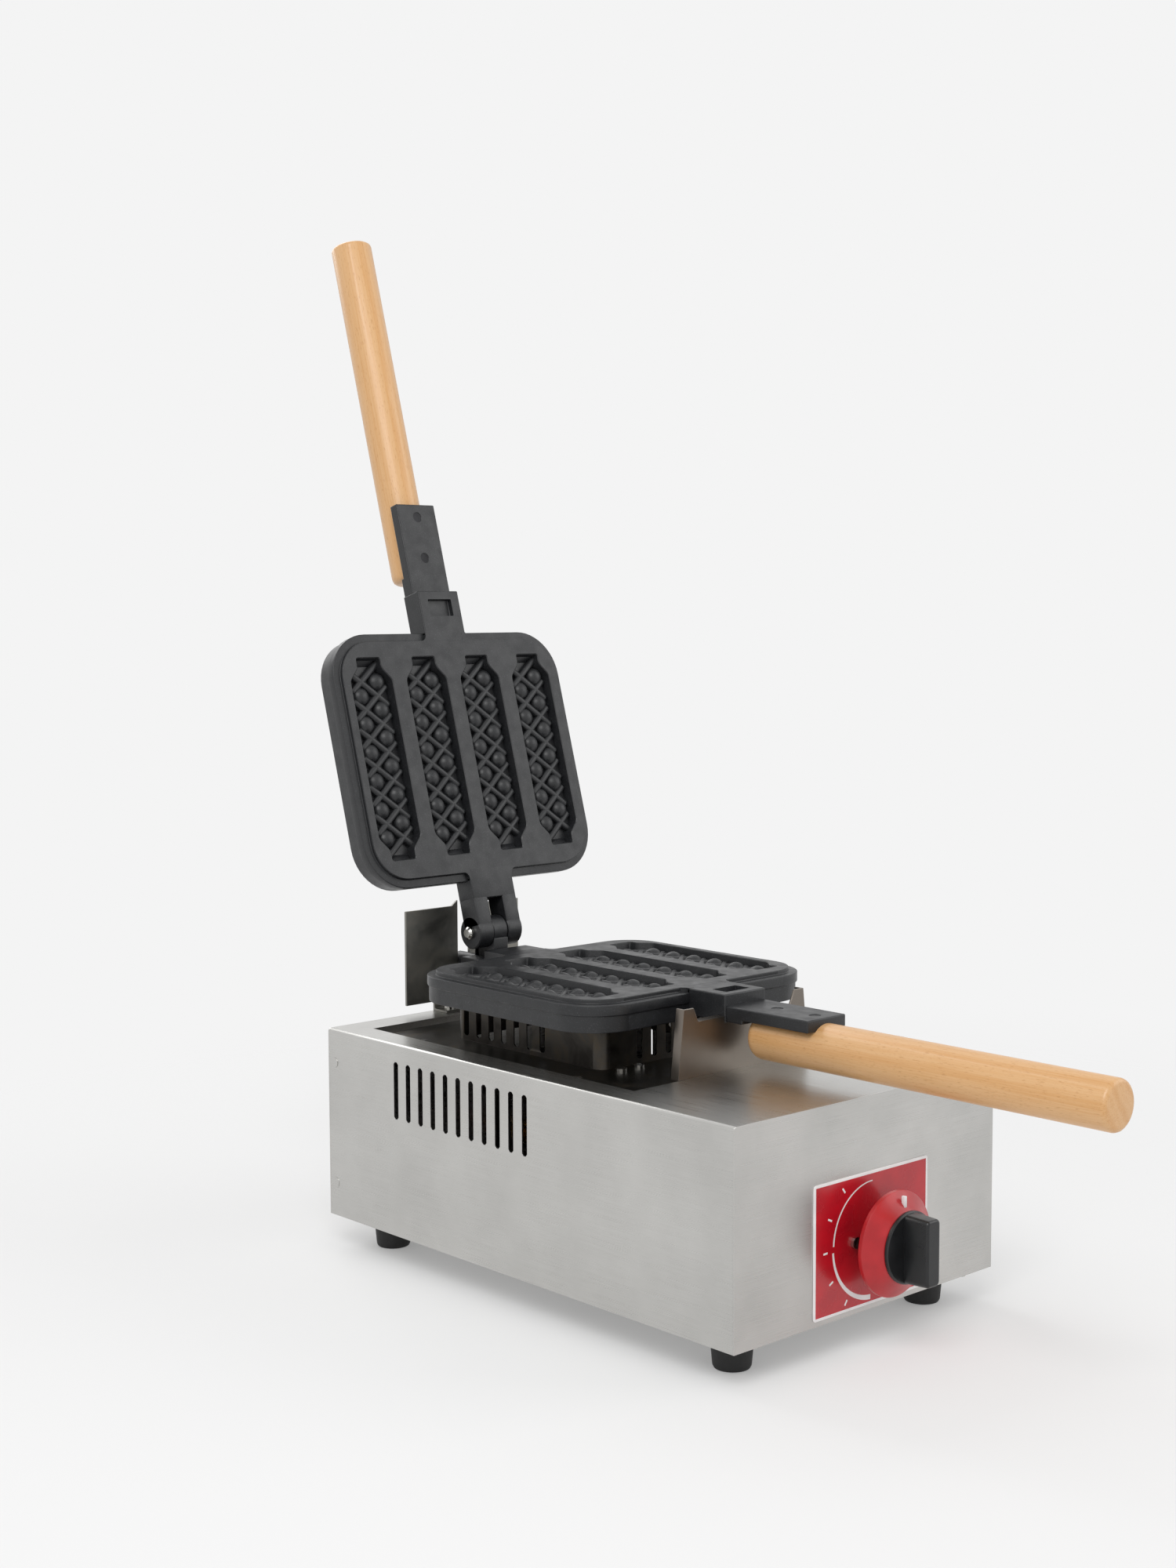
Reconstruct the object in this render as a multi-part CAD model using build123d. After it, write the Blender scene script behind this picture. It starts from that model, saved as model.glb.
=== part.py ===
from build123d import *
import math
import os

# Housing, in millimetres. Origin on the floor under the middle of the box, front towards -Y
box_width = 245.0
box_height = 135.0
foot_height = 23.0
sheet = 1.2
bend_radius = 2.5
front_deck = 107.0
rear_deck = 24.0
side_deck = 22.0
seam = 0.1
clearance = 0.3
return_depth = 12.0
lip_depth = 12.0
ledge_drop = 5.8
ledge_width = 12.0

# Side louvres
slot_count = 11
slot_pitch = 13.53
slot_width = 5.0
slot_height = 40.0
slot_top_margin = 12.5

# Feet
foot_top_radius = 14.0
foot_tip_radius = 12.0
foot_inset = 32.0
foot_recess_radius = 6.5
foot_recess_depth = 9.0

# Mould plates
plate_width = 214.0
plate_length = 188.0
plate_corner = 34.0
plate_thickness = 21.0
pad_inset = 6.0
pad_height = 3.0
face_lift = 50.0
face_gap = 0.4
back_rim = 7.0
back_recess = 4.0
back_rib = 5.0

# Cavities of the moulds
cavity_count = 4
cavity_width = 37.0
cavity_depth = 11.0
cavity_end_margin = 12.5
cavity_draft = 8.0
notch_width = 21.0
notch_length = 8.0
shoulder_run = 9.0
bead_count = 7
bead_end = 11.75
bead_radius = 7.0
bead_top_radius = 4.0
bead_height = 5.0
side_bead_radius = 5.0
side_bead_top_radius = 3.0
side_bead_height = 8.0

# Hinge between the two plates, with the nose that stops the upper one when it stands open
hinge_reach = 37.0
pin_rise = 11.5
pin_radius = 4.0
pin_overhang = 3.5
pin_head_radius = 4.6
running = 0.05
ear_radius = 12.0
lug_radius = 11.0
arm_width = 40.0
arm_thickness = 17.5
lug_width = 13.4
fork_reach = 23.0
open_angle = 106.0
nose_over = 5.0
nose_thickness = 6.0

# Neck and handle
neck_length = 102.0
neck_width = 36.0
neck_thickness = 8.0
neck_drop = 7.5
root_width = 38.0
root_length = 32.0
pocket_width = 22.0
pocket_length = 13.0
pocket_depth = 4.0
handle_radius = 15.5
handle_length = 270.0
handle_overlap = 56.0
handle_sink = 4.4
handle_near_chamfer = 5.0
handle_far_chamfer = 2.5

# Rests for the iron
bracket_gap = 32.0
bracket_sheet = 1.5
front_rest_base = 123.0
front_rest_top = 113.0
horn_width = 9.0
horn_rise = 9.0
rest_return = 7.0
rear_rest_setback = 1.0
rear_rest_width = 108.0
rear_rest_rise = 77.0
rear_rest_foot = 56.0
rear_rest_foot_depth = 14.0
rear_rest_gap = 7.0
rear_rest_sheet = 2.0
crown_width = 21.0
crown_slope = 0.8
tail_radius = 5.0
tail_overhang = 4.0

# Heat shield round the burner
shield_sheet = 1.0
shield_corner = 8.0
shield_inset = 38.5
shield_front_setback = 71.0
shield_rear_setback = 46.0
shield_plate_gap = 4.0
shield_slot_count = 7
shield_front_slot_count = 5
shield_slot_pitch = 13.5
shield_slot_width = 5.5
shield_slot_height = 22.0
shield_slot_lift = 3.0
shield_slot_margin = 12.0

# Burner and gas line
burner_gap = 6.0
burner_bar = 22.0
burner_height = 20.0
burner_drop = 22.0
port_count = 7
port_width = 2.5
port_depth = 5.0
mixer_radius = 11.0
mixer_throat_radius = 8.0
mixer_mouth_radius = 14.0
injector_setback = 62.0
injector_gap = 14.0
electrode_x = 32.0
lead_drop = 4.0
lead_radius = 1.6
pipe_radius = 4.0
tail_pipe_radius = 4.5
inlet_thread_radius = 6.5
inlet_gap = 7.0
inlet_height = 28.0

# Controls on the front panel
control_height = 45.5
dial_width = 108.0
dial_height = 84.0
dial_sheet = 0.8
valve_depth = 40.0
valve_half = 14.0
chamber_radius = 8.5
collar_setback = 9.0
collar_thickness = 1.5
stem_radius = 4.0
stem_flat = 2.8
stem_cover = 12.0
stem_hole_radius = 9.0
control_screw_offset = 16.5
push_travel = 4.0
knob_setback = 10.0
knob_radius = 33.0
knob_face_radius = 22.5
knob_rim_depth = 20.0
knob_face_depth = 29.0
grip_depth = 49.0
grip_width = 14.0
grip_height = 43.0

# Screws
screw_radius = 2.0
screw_head_radius = 3.8
screw_head_height = 2.2
foot_screw_radius = 2.5
handle_screw_length = 26.0

# Places worked out from the sizes
half_width = box_width / 2
opening_length = bracket_gap + plate_length + hinge_reach + ear_radius
box_length = front_deck + opening_length + rear_deck
front_y = -box_length / 2
rear_y = box_length / 2
opening_front = front_y + front_deck
opening_rear = opening_front + opening_length
opening_half = half_width - side_deck
cover_z = foot_height + box_height
face_z = cover_z + face_lift
plate_front = opening_front + bracket_gap
plate_rear = plate_front + plate_length
plate_y = (plate_front + plate_rear) / 2
hinge_y = plate_rear + hinge_reach
hinge_z = face_z + pin_rise
control_z = foot_height + control_height
rim_z = face_z - plate_thickness
arm_floor_z = rim_z + 2.0
pad_width = plate_width - 2 * pad_inset
pad_length = plate_length - 2 * pad_inset
cavity_pitch = pad_width / cavity_count
cavity_length = pad_length - 2 * cavity_end_margin
bead_pitch = (cavity_length - 2 * bead_end) / (bead_count - 1)
neck_end = plate_front - neck_length
neck_top = face_z - neck_drop
seat_z = neck_top - neck_thickness
handle_axis_z = seat_z + handle_sink - handle_radius
handle_start = neck_end + handle_overlap
neck_floor_z = seat_z - 2.5
rest_shelf_z = neck_floor_z + 4.0
lean = math.radians(open_angle - 90)
rear_rest_y = rear_y - rear_rest_setback - rear_rest_sheet
rear_screw_y = rear_rest_y - rear_rest_foot_depth / 2
tail_z = (arm_floor_z + neck_top) / 2
tail_end = rear_rest_y + rear_rest_sheet + tail_overhang
ledge_z = cover_z - ledge_drop
shield_half = opening_half - shield_inset
shield_front = opening_front + shield_front_setback
shield_rear = opening_rear - shield_rear_setback
shield_top = rim_z - shield_plate_gap
burner_width = 2 * (shield_half - shield_sheet - burner_gap)
burner_length = shield_rear - shield_front - 2 * (shield_sheet + burner_gap)
burner_top = cover_z - burner_drop
inlet_offset = burner_width / 2 + inlet_gap
burner_y = (shield_front + shield_rear) / 2
mixer_z = burner_top - burner_height / 2
injector_y = plate_front - injector_setback
valve_back = front_y + sheet + valve_depth
valve_top = control_z + valve_half
outlet_y = valve_back - 4.0
collar_y = front_y + sheet + collar_setback
lead_z = control_z - lead_drop


def block(x, y, z):
    """A box from its low and high value along each axis."""
    return Pos(x[0], y[0], z[0]) * Box(
        x[1] - x[0], y[1] - y[0], z[1] - z[0], align=(Align.MIN, Align.MIN, Align.MIN)
    )


def rod(radius, start, end):
    """A round bar from one point to another."""
    way = Vector(*end) - Vector(*start)
    face = Plane(origin=start, z_dir=way) * Circle(radius)
    return extrude(face, way.length)


def prism(radius, sides, start, end):
    """A many-sided bar from one point to another."""
    way = Vector(*end) - Vector(*start)
    face = Plane(origin=start, z_dir=way) * RegularPolygon(radius, sides)
    return extrude(face, way.length)


def stud(radius, top_radius, height, sides):
    """A many-sided stud that narrows upwards from z = 0."""
    slope = math.degrees(math.atan2(radius - top_radius, height))
    return extrude(RegularPolygon(radius, sides), height, taper=slope)


def slot_face(length, width):
    """A long slot with bevelled ends."""
    bevel = width * 0.3
    rectangle = Rectangle(length, width)
    return chamfer(rectangle.vertices(), bevel)


def tube(radius, bore, start, end):
    """A round bar with a bore right through."""
    way = Vector(*end) - Vector(*start)
    face = Plane(origin=start, z_dir=way) * (Circle(radius) - Circle(bore))
    return extrude(face, way.length)


def side_profile(points, width, x=0.0):
    """A plate that stands along Y and Z, of the given width about x."""
    wire = Plane.YZ * Polyline(*points, close=True)
    return Pos(x, 0, 0) * extrude(make_face(wire), width / 2, both=True)


def front_profile(points, y, thickness):
    """A sheet that stands along X and Z, from y rearwards."""
    wire = Plane(origin=(0, y, 0), x_dir=(1, 0, 0), z_dir=(0, -1, 0)) * Polyline(*points, close=True)
    return extrude(make_face(wire), thickness, dir=(0, 1, 0))


def pan_screw(point, way, length):
    """A pan-head screw whose head sits on a point, its shank running along way."""
    seat = Vector(*point)
    along = Vector(*way).normalized()
    head = prism(screw_head_radius, 12, seat, seat - along * screw_head_height)
    shank = prism(screw_radius, 6, seat, seat + along * length)
    return head + shank


def pipe(radius, points, bend):
    """A bent pipe along straight runs with round corners."""
    path = FilletPolyline(*points, radius=bend)
    section = Plane(origin=path @ 0, z_dir=path % 0) * RegularPolygon(radius, 8)
    return sweep(section, path)


# Housing
def housing_wrap():
    """Left side, top and right side folded from one sheet, with the burner opening."""
    y_low = front_y + sheet
    y_high = rear_y - sheet
    outer = block((-half_width, half_width), (y_low, y_high), (foot_height, cover_z))
    top_edges = outer.edges().filter_by(Axis.Y).group_by(Axis.Z)[-1]
    outer = fillet(top_edges, bend_radius)
    inner = block(
        (-half_width + sheet, half_width - sheet),
        (y_low - 1, y_high + 1),
        (foot_height - 1, cover_z - sheet),
    )
    wrap = outer - inner
    lip = block(
        (-opening_half - sheet, opening_half + sheet),
        (opening_front - sheet, opening_rear + sheet),
        (ledge_z - sheet, cover_z - sheet / 2),
    )
    front_lip = block(
        (-opening_half, opening_half),
        (opening_front - sheet, opening_front),
        (cover_z - lip_depth, cover_z - sheet / 2),
    )
    well = block(
        (-opening_half, opening_half), (opening_front, opening_rear), (ledge_z, cover_z + 1)
    )
    ledge_hole = block(
        (-opening_half + ledge_width, opening_half - ledge_width),
        (opening_front - sheet / 2, opening_rear - ledge_width),
        (ledge_z - 2 * sheet, ledge_z + 1),
    )
    wrap = wrap + lip + front_lip - well - ledge_hole
    rest_gap = block(
        (-opening_half, opening_half),
        (opening_front, opening_front + 2 * bracket_sheet),
        (cover_z - lip_depth - 1, cover_z + 1),
    )
    wrap = wrap - rest_gap
    slots_z = cover_z - slot_top_margin - slot_height / 2
    slots_y = plate_y + plate_length / 2 - slot_pitch * (slot_count - 1) / 2 - 6.0
    slot = Rot(0, 90, 0) * extrude(slot_face(slot_height, slot_width), box_width, both=True)
    for number in range(slot_count):
        offset = (number - (slot_count - 1) / 2) * slot_pitch
        wrap = wrap - Pos(0, slots_y + offset, slots_z) * slot
    return wrap


def end_panel(outer_y, inward):
    """A flat end sheet with a return folded all round inside the wrap."""
    inner_y = outer_y + inward * sheet
    y_sheet = sorted((outer_y, inner_y))
    face = block((-half_width, half_width), y_sheet, (foot_height, cover_z))
    corners = face.edges().filter_by(Axis.Y).group_by(Axis.Z)[-1]
    face = fillet(corners, bend_radius)
    y_return = sorted((inner_y, inner_y + inward * return_depth))
    half = half_width - sheet - seam
    low = foot_height + sheet + seam
    high = cover_z - sheet - seam
    ring = block((-half, half), y_return, (low, high))
    hollow = block(
        (-half + sheet, half - sheet),
        (y_return[0] - 1, y_return[1] + 1),
        (low + sheet, high - sheet),
    )
    return face + (ring - hollow)


def front_panel():
    """Front sheet with the holes for the valve stem and its two screws."""
    panel = end_panel(front_y, 1)
    y = (front_y - 1, front_y + 2 * sheet)
    panel = panel - rod(stem_hole_radius, (0, y[0], control_z), (0, y[1], control_z))
    for side in (-1, 1):
        x = side * control_screw_offset
        panel = panel - rod(screw_radius, (x, y[0], control_z), (x, y[1], control_z))
    return panel


def rear_panel():
    """Rear sheet with the hole for the gas inlet and its corner screws."""
    panel = end_panel(rear_y, -1)
    z = foot_height + inlet_height
    y = (rear_y - 2 * sheet, rear_y + 1)
    panel = panel - rod(inlet_thread_radius, (inlet_offset, y[0], z), (inlet_offset, y[1], z))
    return panel


def base_plate():
    """Bottom sheet with upturned sides, foot holes and air slots."""
    half = half_width - sheet - seam
    y_half = box_length / 2 - sheet - seam
    floor = block((-half, half), (-y_half, y_half), (foot_height, foot_height + sheet))
    lip_y = y_half - return_depth - 2 * seam
    for side in (-1, 1):
        x = sorted((side * half, side * (half - sheet)))
        floor = floor + block(x, (-lip_y, lip_y), (foot_height, foot_height + 2 * return_depth))
    for x, y in foot_places():
        floor = floor - Pos(x, y, foot_height) * Cylinder(foot_screw_radius, 4 * sheet)
    air_slot = extrude(slot_face(opening_half, slot_width), 2 * sheet, both=True)
    for number in range(5):
        y = burner_y + (number - 2) * 3 * slot_pitch
        floor = floor - Pos(0, y, foot_height) * air_slot
    return floor


def foot_places():
    """Centres of the four feet."""
    x = half_width - foot_inset
    y = box_length / 2 - foot_inset
    return [(sx * x, sy * y) for sx in (-1, 1) for sy in (-1, 1)]


def rubber_foot():
    """Tapered foot with a rounded tread and a recess for its screw."""
    foot = Cone(foot_tip_radius, foot_top_radius, foot_height, align=(Align.CENTER, Align.CENTER, Align.MIN))
    foot = chamfer(foot.edges().group_by(Axis.Z)[0], 1.5)
    recess = Cylinder(foot_recess_radius, foot_recess_depth, align=(Align.CENTER, Align.CENTER, Align.MIN))
    hole = Cylinder(foot_screw_radius, foot_height, align=(Align.CENTER, Align.CENTER, Align.MIN))
    return foot - recess - hole


def rubber_feet():
    """All four feet."""
    foot = rubber_foot()
    return Part() + [Pos(x, y, 0) * foot for x, y in foot_places()]


def foot_screws():
    """A screw up through each foot, with a nut on the base plate."""
    head_z = foot_recess_depth
    nut_z = foot_height + sheet
    head = Pos(0, 0, head_z - 3.0) * extrude(RegularPolygon(5.0, 12), 3.0)
    shank = extrude(RegularPolygon(foot_screw_radius, 8), nut_z + 6.0 - head_z)
    nut = Pos(0, 0, nut_z) * extrude(RegularPolygon(4.6, 6), 4.0)
    screw = head + Pos(0, 0, head_z) * shank + nut
    return Part() + [Pos(x, y, 0) * screw for x, y in foot_places()]


def casing_screws():
    """Screws that hold the rear panel to the wrap and the base to both panels."""
    screws = []
    y = box_length / 2 - sheet - return_depth / 2
    for sx in (-1, 1):
        x = sx * (half_width - 2 * return_depth)
        for sy in (-1, 1):
            screws.append(pan_screw((x, sy * y, foot_height), (0, 0, 1), 6.0))
        side_x = sx * (half_width)
        for z in (foot_height + 2 * return_depth, cover_z - 2 * return_depth):
            screws.append(pan_screw((side_x, y, z), (-sx, 0, 0), 6.0))
    return Part() + screws


# Rests
def front_rest():
    """Upright sheet across the front of the opening, with a notch for the neck and two horns."""
    low = front_rest_base / 2
    top = front_rest_top / 2
    shelf_z = rest_shelf_z
    horn_z = shelf_z + horn_rise
    inner = top - horn_width
    notch = root_width / 2 + clearance
    notch_z = neck_floor_z - clearance
    tab = low - 6.0
    tab_z = cover_z - lip_depth + 2.0
    right = [
        (notch, notch_z),
        (notch, shelf_z),
        (inner - 4.0, shelf_z),
        (inner, horn_z),
        (top, horn_z),
        (low, cover_z),
        (tab, cover_z),
        (tab, tab_z),
    ]
    left = [(-x, z) for x, z in reversed(right)]
    web = front_profile(right + left, opening_front, bracket_sheet)
    returns = Part()
    for side in (-1, 1):
        corners = [
            (side * low, cover_z),
            (side * top, horn_z),
            (side * (top - bracket_sheet), horn_z),
            (side * (low - bracket_sheet), cover_z),
        ]
        returns = returns + front_profile(corners, opening_front, rest_return)
    shelf = block(
        (-inner + 6.0, inner - 6.0),
        (opening_front, opening_front + rest_return),
        (shelf_z - bracket_sheet, shelf_z),
    )
    gap = block((-notch, notch), (opening_front - 1, opening_front + rest_return + 1), (notch_z, shelf_z + 1))
    return web + returns + (shelf - gap)


def rear_rest():
    """Upright sheet behind the hinge, with an open slot for the tail and a foot on the cover."""
    wing = rear_rest_width / 2
    wing_z = cover_z + rear_rest_rise
    foot = rear_rest_foot / 2
    low_z = cover_z + rear_rest_gap
    crown = crown_width / 2
    slot_half = tail_radius + clearance
    right = [
        (foot, cover_z),
        (foot, low_z),
        (wing, low_z),
        (wing, wing_z),
        (crown, wing_z),
        (slot_half, wing_z + (crown - slot_half) * crown_slope),
    ]
    left = [(-x, z) for x, z in reversed(right)]
    web = front_profile(right + left, rear_rest_y, rear_rest_sheet)
    y = (rear_rest_y - 1, rear_rest_y + rear_rest_sheet + 1)
    web = web - block((-slot_half, slot_half), y, (tail_z, wing_z + crown_width))
    web = web - rod(slot_half, (0, y[0], tail_z), (0, y[1], tail_z))
    flange_y = (rear_rest_y - rear_rest_foot_depth, rear_rest_y + rear_rest_sheet)
    flange = block((-foot, foot), flange_y, (cover_z, cover_z + rear_rest_sheet))
    return web + flange


def rear_screw_places():
    """Where the screws of the rear rest stand along X."""
    step = rear_rest_foot / 2 - 2 * screw_head_radius
    return (-step, 0.0, step)


def rest_screws():
    """Screws of the rear rest on the cover and of the front rest in the opening's lip."""
    screws = []
    for x in rear_screw_places():
        screws.append(pan_screw((x, rear_screw_y, cover_z + rear_rest_sheet), (0, 0, -1), 8.0))
    lip_z = cover_z - lip_depth / 2
    for side in (-1, 1):
        x = side * front_rest_base / 4
        screws.append(pan_screw((x, opening_front - sheet, lip_z), (0, 1, 0), 5.0))
    return Part() + screws


# Heat shield and burner
def heat_shield():
    """Flange that fills the opening, with slotted walls that rise round the burner."""
    edge = opening_half - clearance
    front = opening_front + bracket_sheet + clearance
    flange = block(
        (-edge, edge), (front, opening_rear - clearance), (ledge_z, ledge_z + shield_sheet)
    )
    wide = 2 * shield_half
    deep = shield_rear - shield_front
    outer = RectangleRounded(wide, deep, shield_corner)
    inner = RectangleRounded(wide - 2 * shield_sheet, deep - 2 * shield_sheet, shield_corner - shield_sheet)
    walls = Pos(0, burner_y, ledge_z) * extrude(outer, shield_top - ledge_z)
    shield = flange + walls
    shield = shield - Pos(0, burner_y, ledge_z - 1) * extrude(inner, shield_top - ledge_z + 2)
    outline = slot_face(shield_slot_height, shield_slot_width)
    slot = Rot(0, 90, 0) * extrude(outline, wide, both=True)
    slot_z = ledge_z + shield_sheet + shield_slot_lift + shield_slot_height / 2
    for number in range(shield_slot_count):
        y = shield_rear - shield_slot_margin - number * shield_slot_pitch
        shield = shield - Pos(0, y, slot_z) * slot
    front_slot = Rot(90, 0, 0) * Rot(0, 0, 90) * extrude(outline, 2 * shield_sheet, both=True)
    for number in range(shield_front_slot_count):
        x = (number - (shield_front_slot_count - 1) / 2) * shield_slot_pitch
        shield = shield - Pos(x, shield_front, slot_z) * front_slot
    return shield


def shield_screws():
    """Screws through the shield's flange, in a row before its front wall and at its outer corners."""
    z = ledge_z + shield_sheet
    near = shield_front - 2.5 * screw_head_radius
    far = opening_half - 2 * screw_head_radius
    places = [(shield_half - 9.0, near), (shield_half - 25.0, near)]
    places = places + [(far, near), (far, shield_rear)]
    return Part() + [pan_screw((side * x, y, z), (0, 0, -1), 6.0) for x, y in places for side in (-1, 1)]


def burner_ring():
    """Cast burner ring with flame ports cut across its top."""
    outer = RectangleRounded(burner_width, burner_length, burner_bar)
    inner = RectangleRounded(burner_width - 2 * burner_bar, burner_length - 2 * burner_bar, burner_bar / 2)
    ring = extrude(outer - inner, burner_height)
    for number in range(port_count):
        offset = (number - (port_count - 1) / 2) * burner_length / (port_count + 2)
        cut = Box(burner_width + 2, port_width, 2 * port_depth)
        ring = ring - Pos(0, offset, burner_height) * cut
    ring = Pos(0, burner_y, burner_top - burner_height) * ring
    mouth_y = burner_y - burner_length / 2
    return ring - rod(mixer_throat_radius, (0, mouth_y - 1, mixer_z), (0, mouth_y + burner_bar / 2, mixer_z))


def mixer_tube():
    """Venturi tube with a flared mouth and two air ports."""
    rear = burner_y - burner_length / 2
    front = injector_y + injector_gap
    throat = front + 22.0
    outline = [
        (mixer_throat_radius, rear),
        (mixer_radius, rear),
        (mixer_radius, throat),
        (mixer_mouth_radius, front),
        (mixer_mouth_radius - 1.5, front),
        (mixer_throat_radius, throat),
    ]
    wire = Plane.XY * Polyline(*outline, close=True)
    body = Pos(0, 0, mixer_z) * revolve(make_face(wire), Axis.Y)
    ports = block((-mixer_mouth_radius, mixer_mouth_radius), (front + 3.0, front + 8.0), (mixer_z - 4, mixer_z + 4))
    return body - ports


def injector():
    """Brass jet that points into the mouth of the mixer tube."""
    y = injector_y
    body = tube(6.0, 1.0, (0, y, mixer_z), (0, y + 8.0, mixer_z))
    nose = Pos(0, y + 8.0, mixer_z) * Rot(-90, 0, 0) * Cone(5.0, 2.5, 8.0, align=(Align.CENTER, Align.CENTER, Align.MIN))
    return body + (nose - rod(1.0, (0, y, mixer_z), (0, y + 20.0, mixer_z)))


def burner_stand():
    """Folded bracket under the burner ring and the holder of the injector."""
    floor_z = foot_height + sheet
    ring_floor = burner_top - burner_height
    stand = Part()
    for side in (-1, 1):
        y = burner_y + side * burner_length / 3
        leg_x = burner_width / 2 - burner_bar / 2
        for leg_side in (-1, 1):
            x = leg_side * leg_x
            leg = block((x - 6, x + 6), (y - 1, y + 1), (floor_z, ring_floor))
            toe = block((x - 6, x + 6), (y - 1, y + 11), (floor_z, floor_z + 1.5))
            stand = stand + leg + toe
    holder_y = injector_y + 3.0
    holder = block((-12, 12), (holder_y - 1, holder_y + 1), (floor_z, mixer_z + 10))
    holder = holder - rod(6.0, (0, holder_y - 2, mixer_z), (0, holder_y + 2, mixer_z))
    holder_toe = block((-12, 12), (holder_y - 1, holder_y + 14), (floor_z, floor_z + 1.5))
    return stand + holder + holder_toe


# Gas control
def valve_body():
    """Gas valve with a spring chamber, a stem bore and ports for both pipes."""
    front = front_y + sheet
    body = block((-valve_half, valve_half), (front, valve_back), (control_z - valve_half, valve_top))
    body = fillet(body.edges().filter_by(Axis.Y), 4.0)
    flange = front_profile(
        [
            (-control_screw_offset - 5, control_z - 5),
            (control_screw_offset + 5, control_z - 5),
            (control_screw_offset + 5, control_z + 5),
            (-control_screw_offset - 5, control_z + 5),
        ],
        front,
        3.0,
    )
    body = body + flange
    chamber_front = front + 7.0
    chamber_back = valve_back - 8.0
    body = body - rod(stem_radius + running, (0, front - 1, control_z), (0, chamber_back, control_z))
    body = body - rod(chamber_radius, (0, chamber_front, control_z), (0, chamber_back, control_z))
    for side in (-1, 1):
        x = side * control_screw_offset
        body = body - rod(screw_radius, (x, front - 1, control_z), (x, front + 3.0, control_z))
    outlet = rod(7.0, (0, outlet_y, valve_top - 1), (0, outlet_y, valve_top + 7))
    outlet = outlet - rod(pipe_radius, (0, outlet_y, valve_top + 1), (0, outlet_y, valve_top + 8))
    inlet = rod(7.0, (valve_half - 1, outlet_y, control_z), (valve_half + 8, outlet_y, control_z))
    inlet = inlet - rod(pipe_radius, (valve_half + 2, outlet_y, control_z), (valve_half + 9, outlet_y, control_z))
    return body + outlet + inlet


def stem_collar():
    """Thrust washer between the stem's shoulder and the return spring."""
    bore = stem_radius + running
    return tube(chamber_radius - clearance, bore, (0, collar_y, control_z), (0, collar_y + collar_thickness, control_z))


def valve_stem():
    """Round stem with a shoulder, flattened where the knob fits."""
    tip = front_y - grip_depth + stem_cover
    stem = rod(stem_radius, (0, tip, control_z), (0, collar_y + 12.0, control_z))
    shoulder = rod(stem_radius + 2.0, (0, collar_y - 1.6, control_z), (0, collar_y - 0.1, control_z))
    flat = block((-stem_radius, stem_radius), (tip - 1, tip + 16.0), (control_z + stem_flat, control_z + stem_radius + 1))
    return stem - flat + shoulder


def control_screws():
    """Two screws that hold the valve behind the panel."""
    y = front_y - dial_sheet
    screws = []
    for side in (-1, 1):
        screws.append(pan_screw((side * control_screw_offset, y, control_z), (0, 1, 0), 5.0))
    return Part() + screws


def igniter_unit():
    """Spark generator behind the valve."""
    y = valve_back
    body = block((-11, 11), (y, y + 24), (control_z - 12, control_z + 9))
    body = fillet(body.edges().filter_by(Axis.Y), 3.0)
    return body + rod(3.5, (11, y + 16, lead_z), (17, y + 16, lead_z))


def igniter_electrode():
    """Ceramic rod with a wire tip beside the burner ring."""
    x = electrode_x
    y = burner_y - burner_length / 2 - 6.0
    ceramic = rod(3.5, (x, y, mixer_z - 26), (x, y, burner_top - 4))
    tip = rod(1.2, (x, y, burner_top - 4), (x, y, burner_top + 8))
    clip = block((x - 6, x + 6), (y + 1, burner_y - burner_length / 2), (mixer_z - 4, mixer_z + 4))
    return ceramic + tip + (clip - rod(3.4, (x, y, mixer_z - 26), (x, y, burner_top - 4)))


def ignition_lead():
    """Insulated lead from the spark generator to the electrode."""
    y_start = valve_back + 16.0
    y_end = burner_y - burner_length / 2 - 6.0
    points = [
        (17, y_start, lead_z),
        (electrode_x, y_start, lead_z),
        (electrode_x, y_end, lead_z),
        (electrode_x, y_end, mixer_z - 26),
    ]
    return pipe(lead_radius, points, 9.0)


def supply_pipe():
    """Pipe from the valve's outlet up to the injector."""
    points = [
        (0, outlet_y, valve_top + 1),
        (0, outlet_y, mixer_z),
        (0, injector_y, mixer_z),
    ]
    return pipe(pipe_radius, points, 14.0)


def inlet_pipe():
    """Pipe from the rear connector forward to the valve."""
    z = foot_height + inlet_height
    points = [
        (inlet_offset, rear_y - 24.0, z),
        (inlet_offset, outlet_y + 40.0, z),
        (inlet_offset - 16.0, outlet_y, control_z),
        (valve_half + 2, outlet_y, control_z),
    ]
    return pipe(pipe_radius, points, 12.0)


def gas_inlet():
    """Rear connector with a locknut each side of the panel and a barbed tail."""
    x = inlet_offset
    z = foot_height + inlet_height
    inner = rod(inlet_thread_radius, (x, rear_y - 24, z), (x, rear_y + 8, z))
    inner = inner - rod(pipe_radius, (x, rear_y - 25, z), (x, rear_y - 14, z))
    nuts = Part()
    for y in (rear_y - sheet - 5.0, rear_y):
        nut = Plane(origin=(x, y, z), z_dir=(0, 1, 0)) * RegularPolygon(10.0, 6)
        nuts = nuts + extrude(nut, 5.0)
    barb = tail_pipe_radius + 1.0
    outline = [(0, 8), (tail_pipe_radius, 8), (tail_pipe_radius, 14)]
    for number in range(3):
        start = 14.0 + 6.0 * number
        outline = outline + [(barb, start), (tail_pipe_radius, start + 5.0), (tail_pipe_radius, start + 6.0)]
    outline = outline + [(0, 32)]
    tail = Pos(x, rear_y, z) * revolve(make_face(Polyline(*outline, close=True)), Axis.Y)
    bore = rod(3.0, (x, rear_y - 14, z), (x, rear_y + 33, z))
    return inner + nuts + tail - bore


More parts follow.
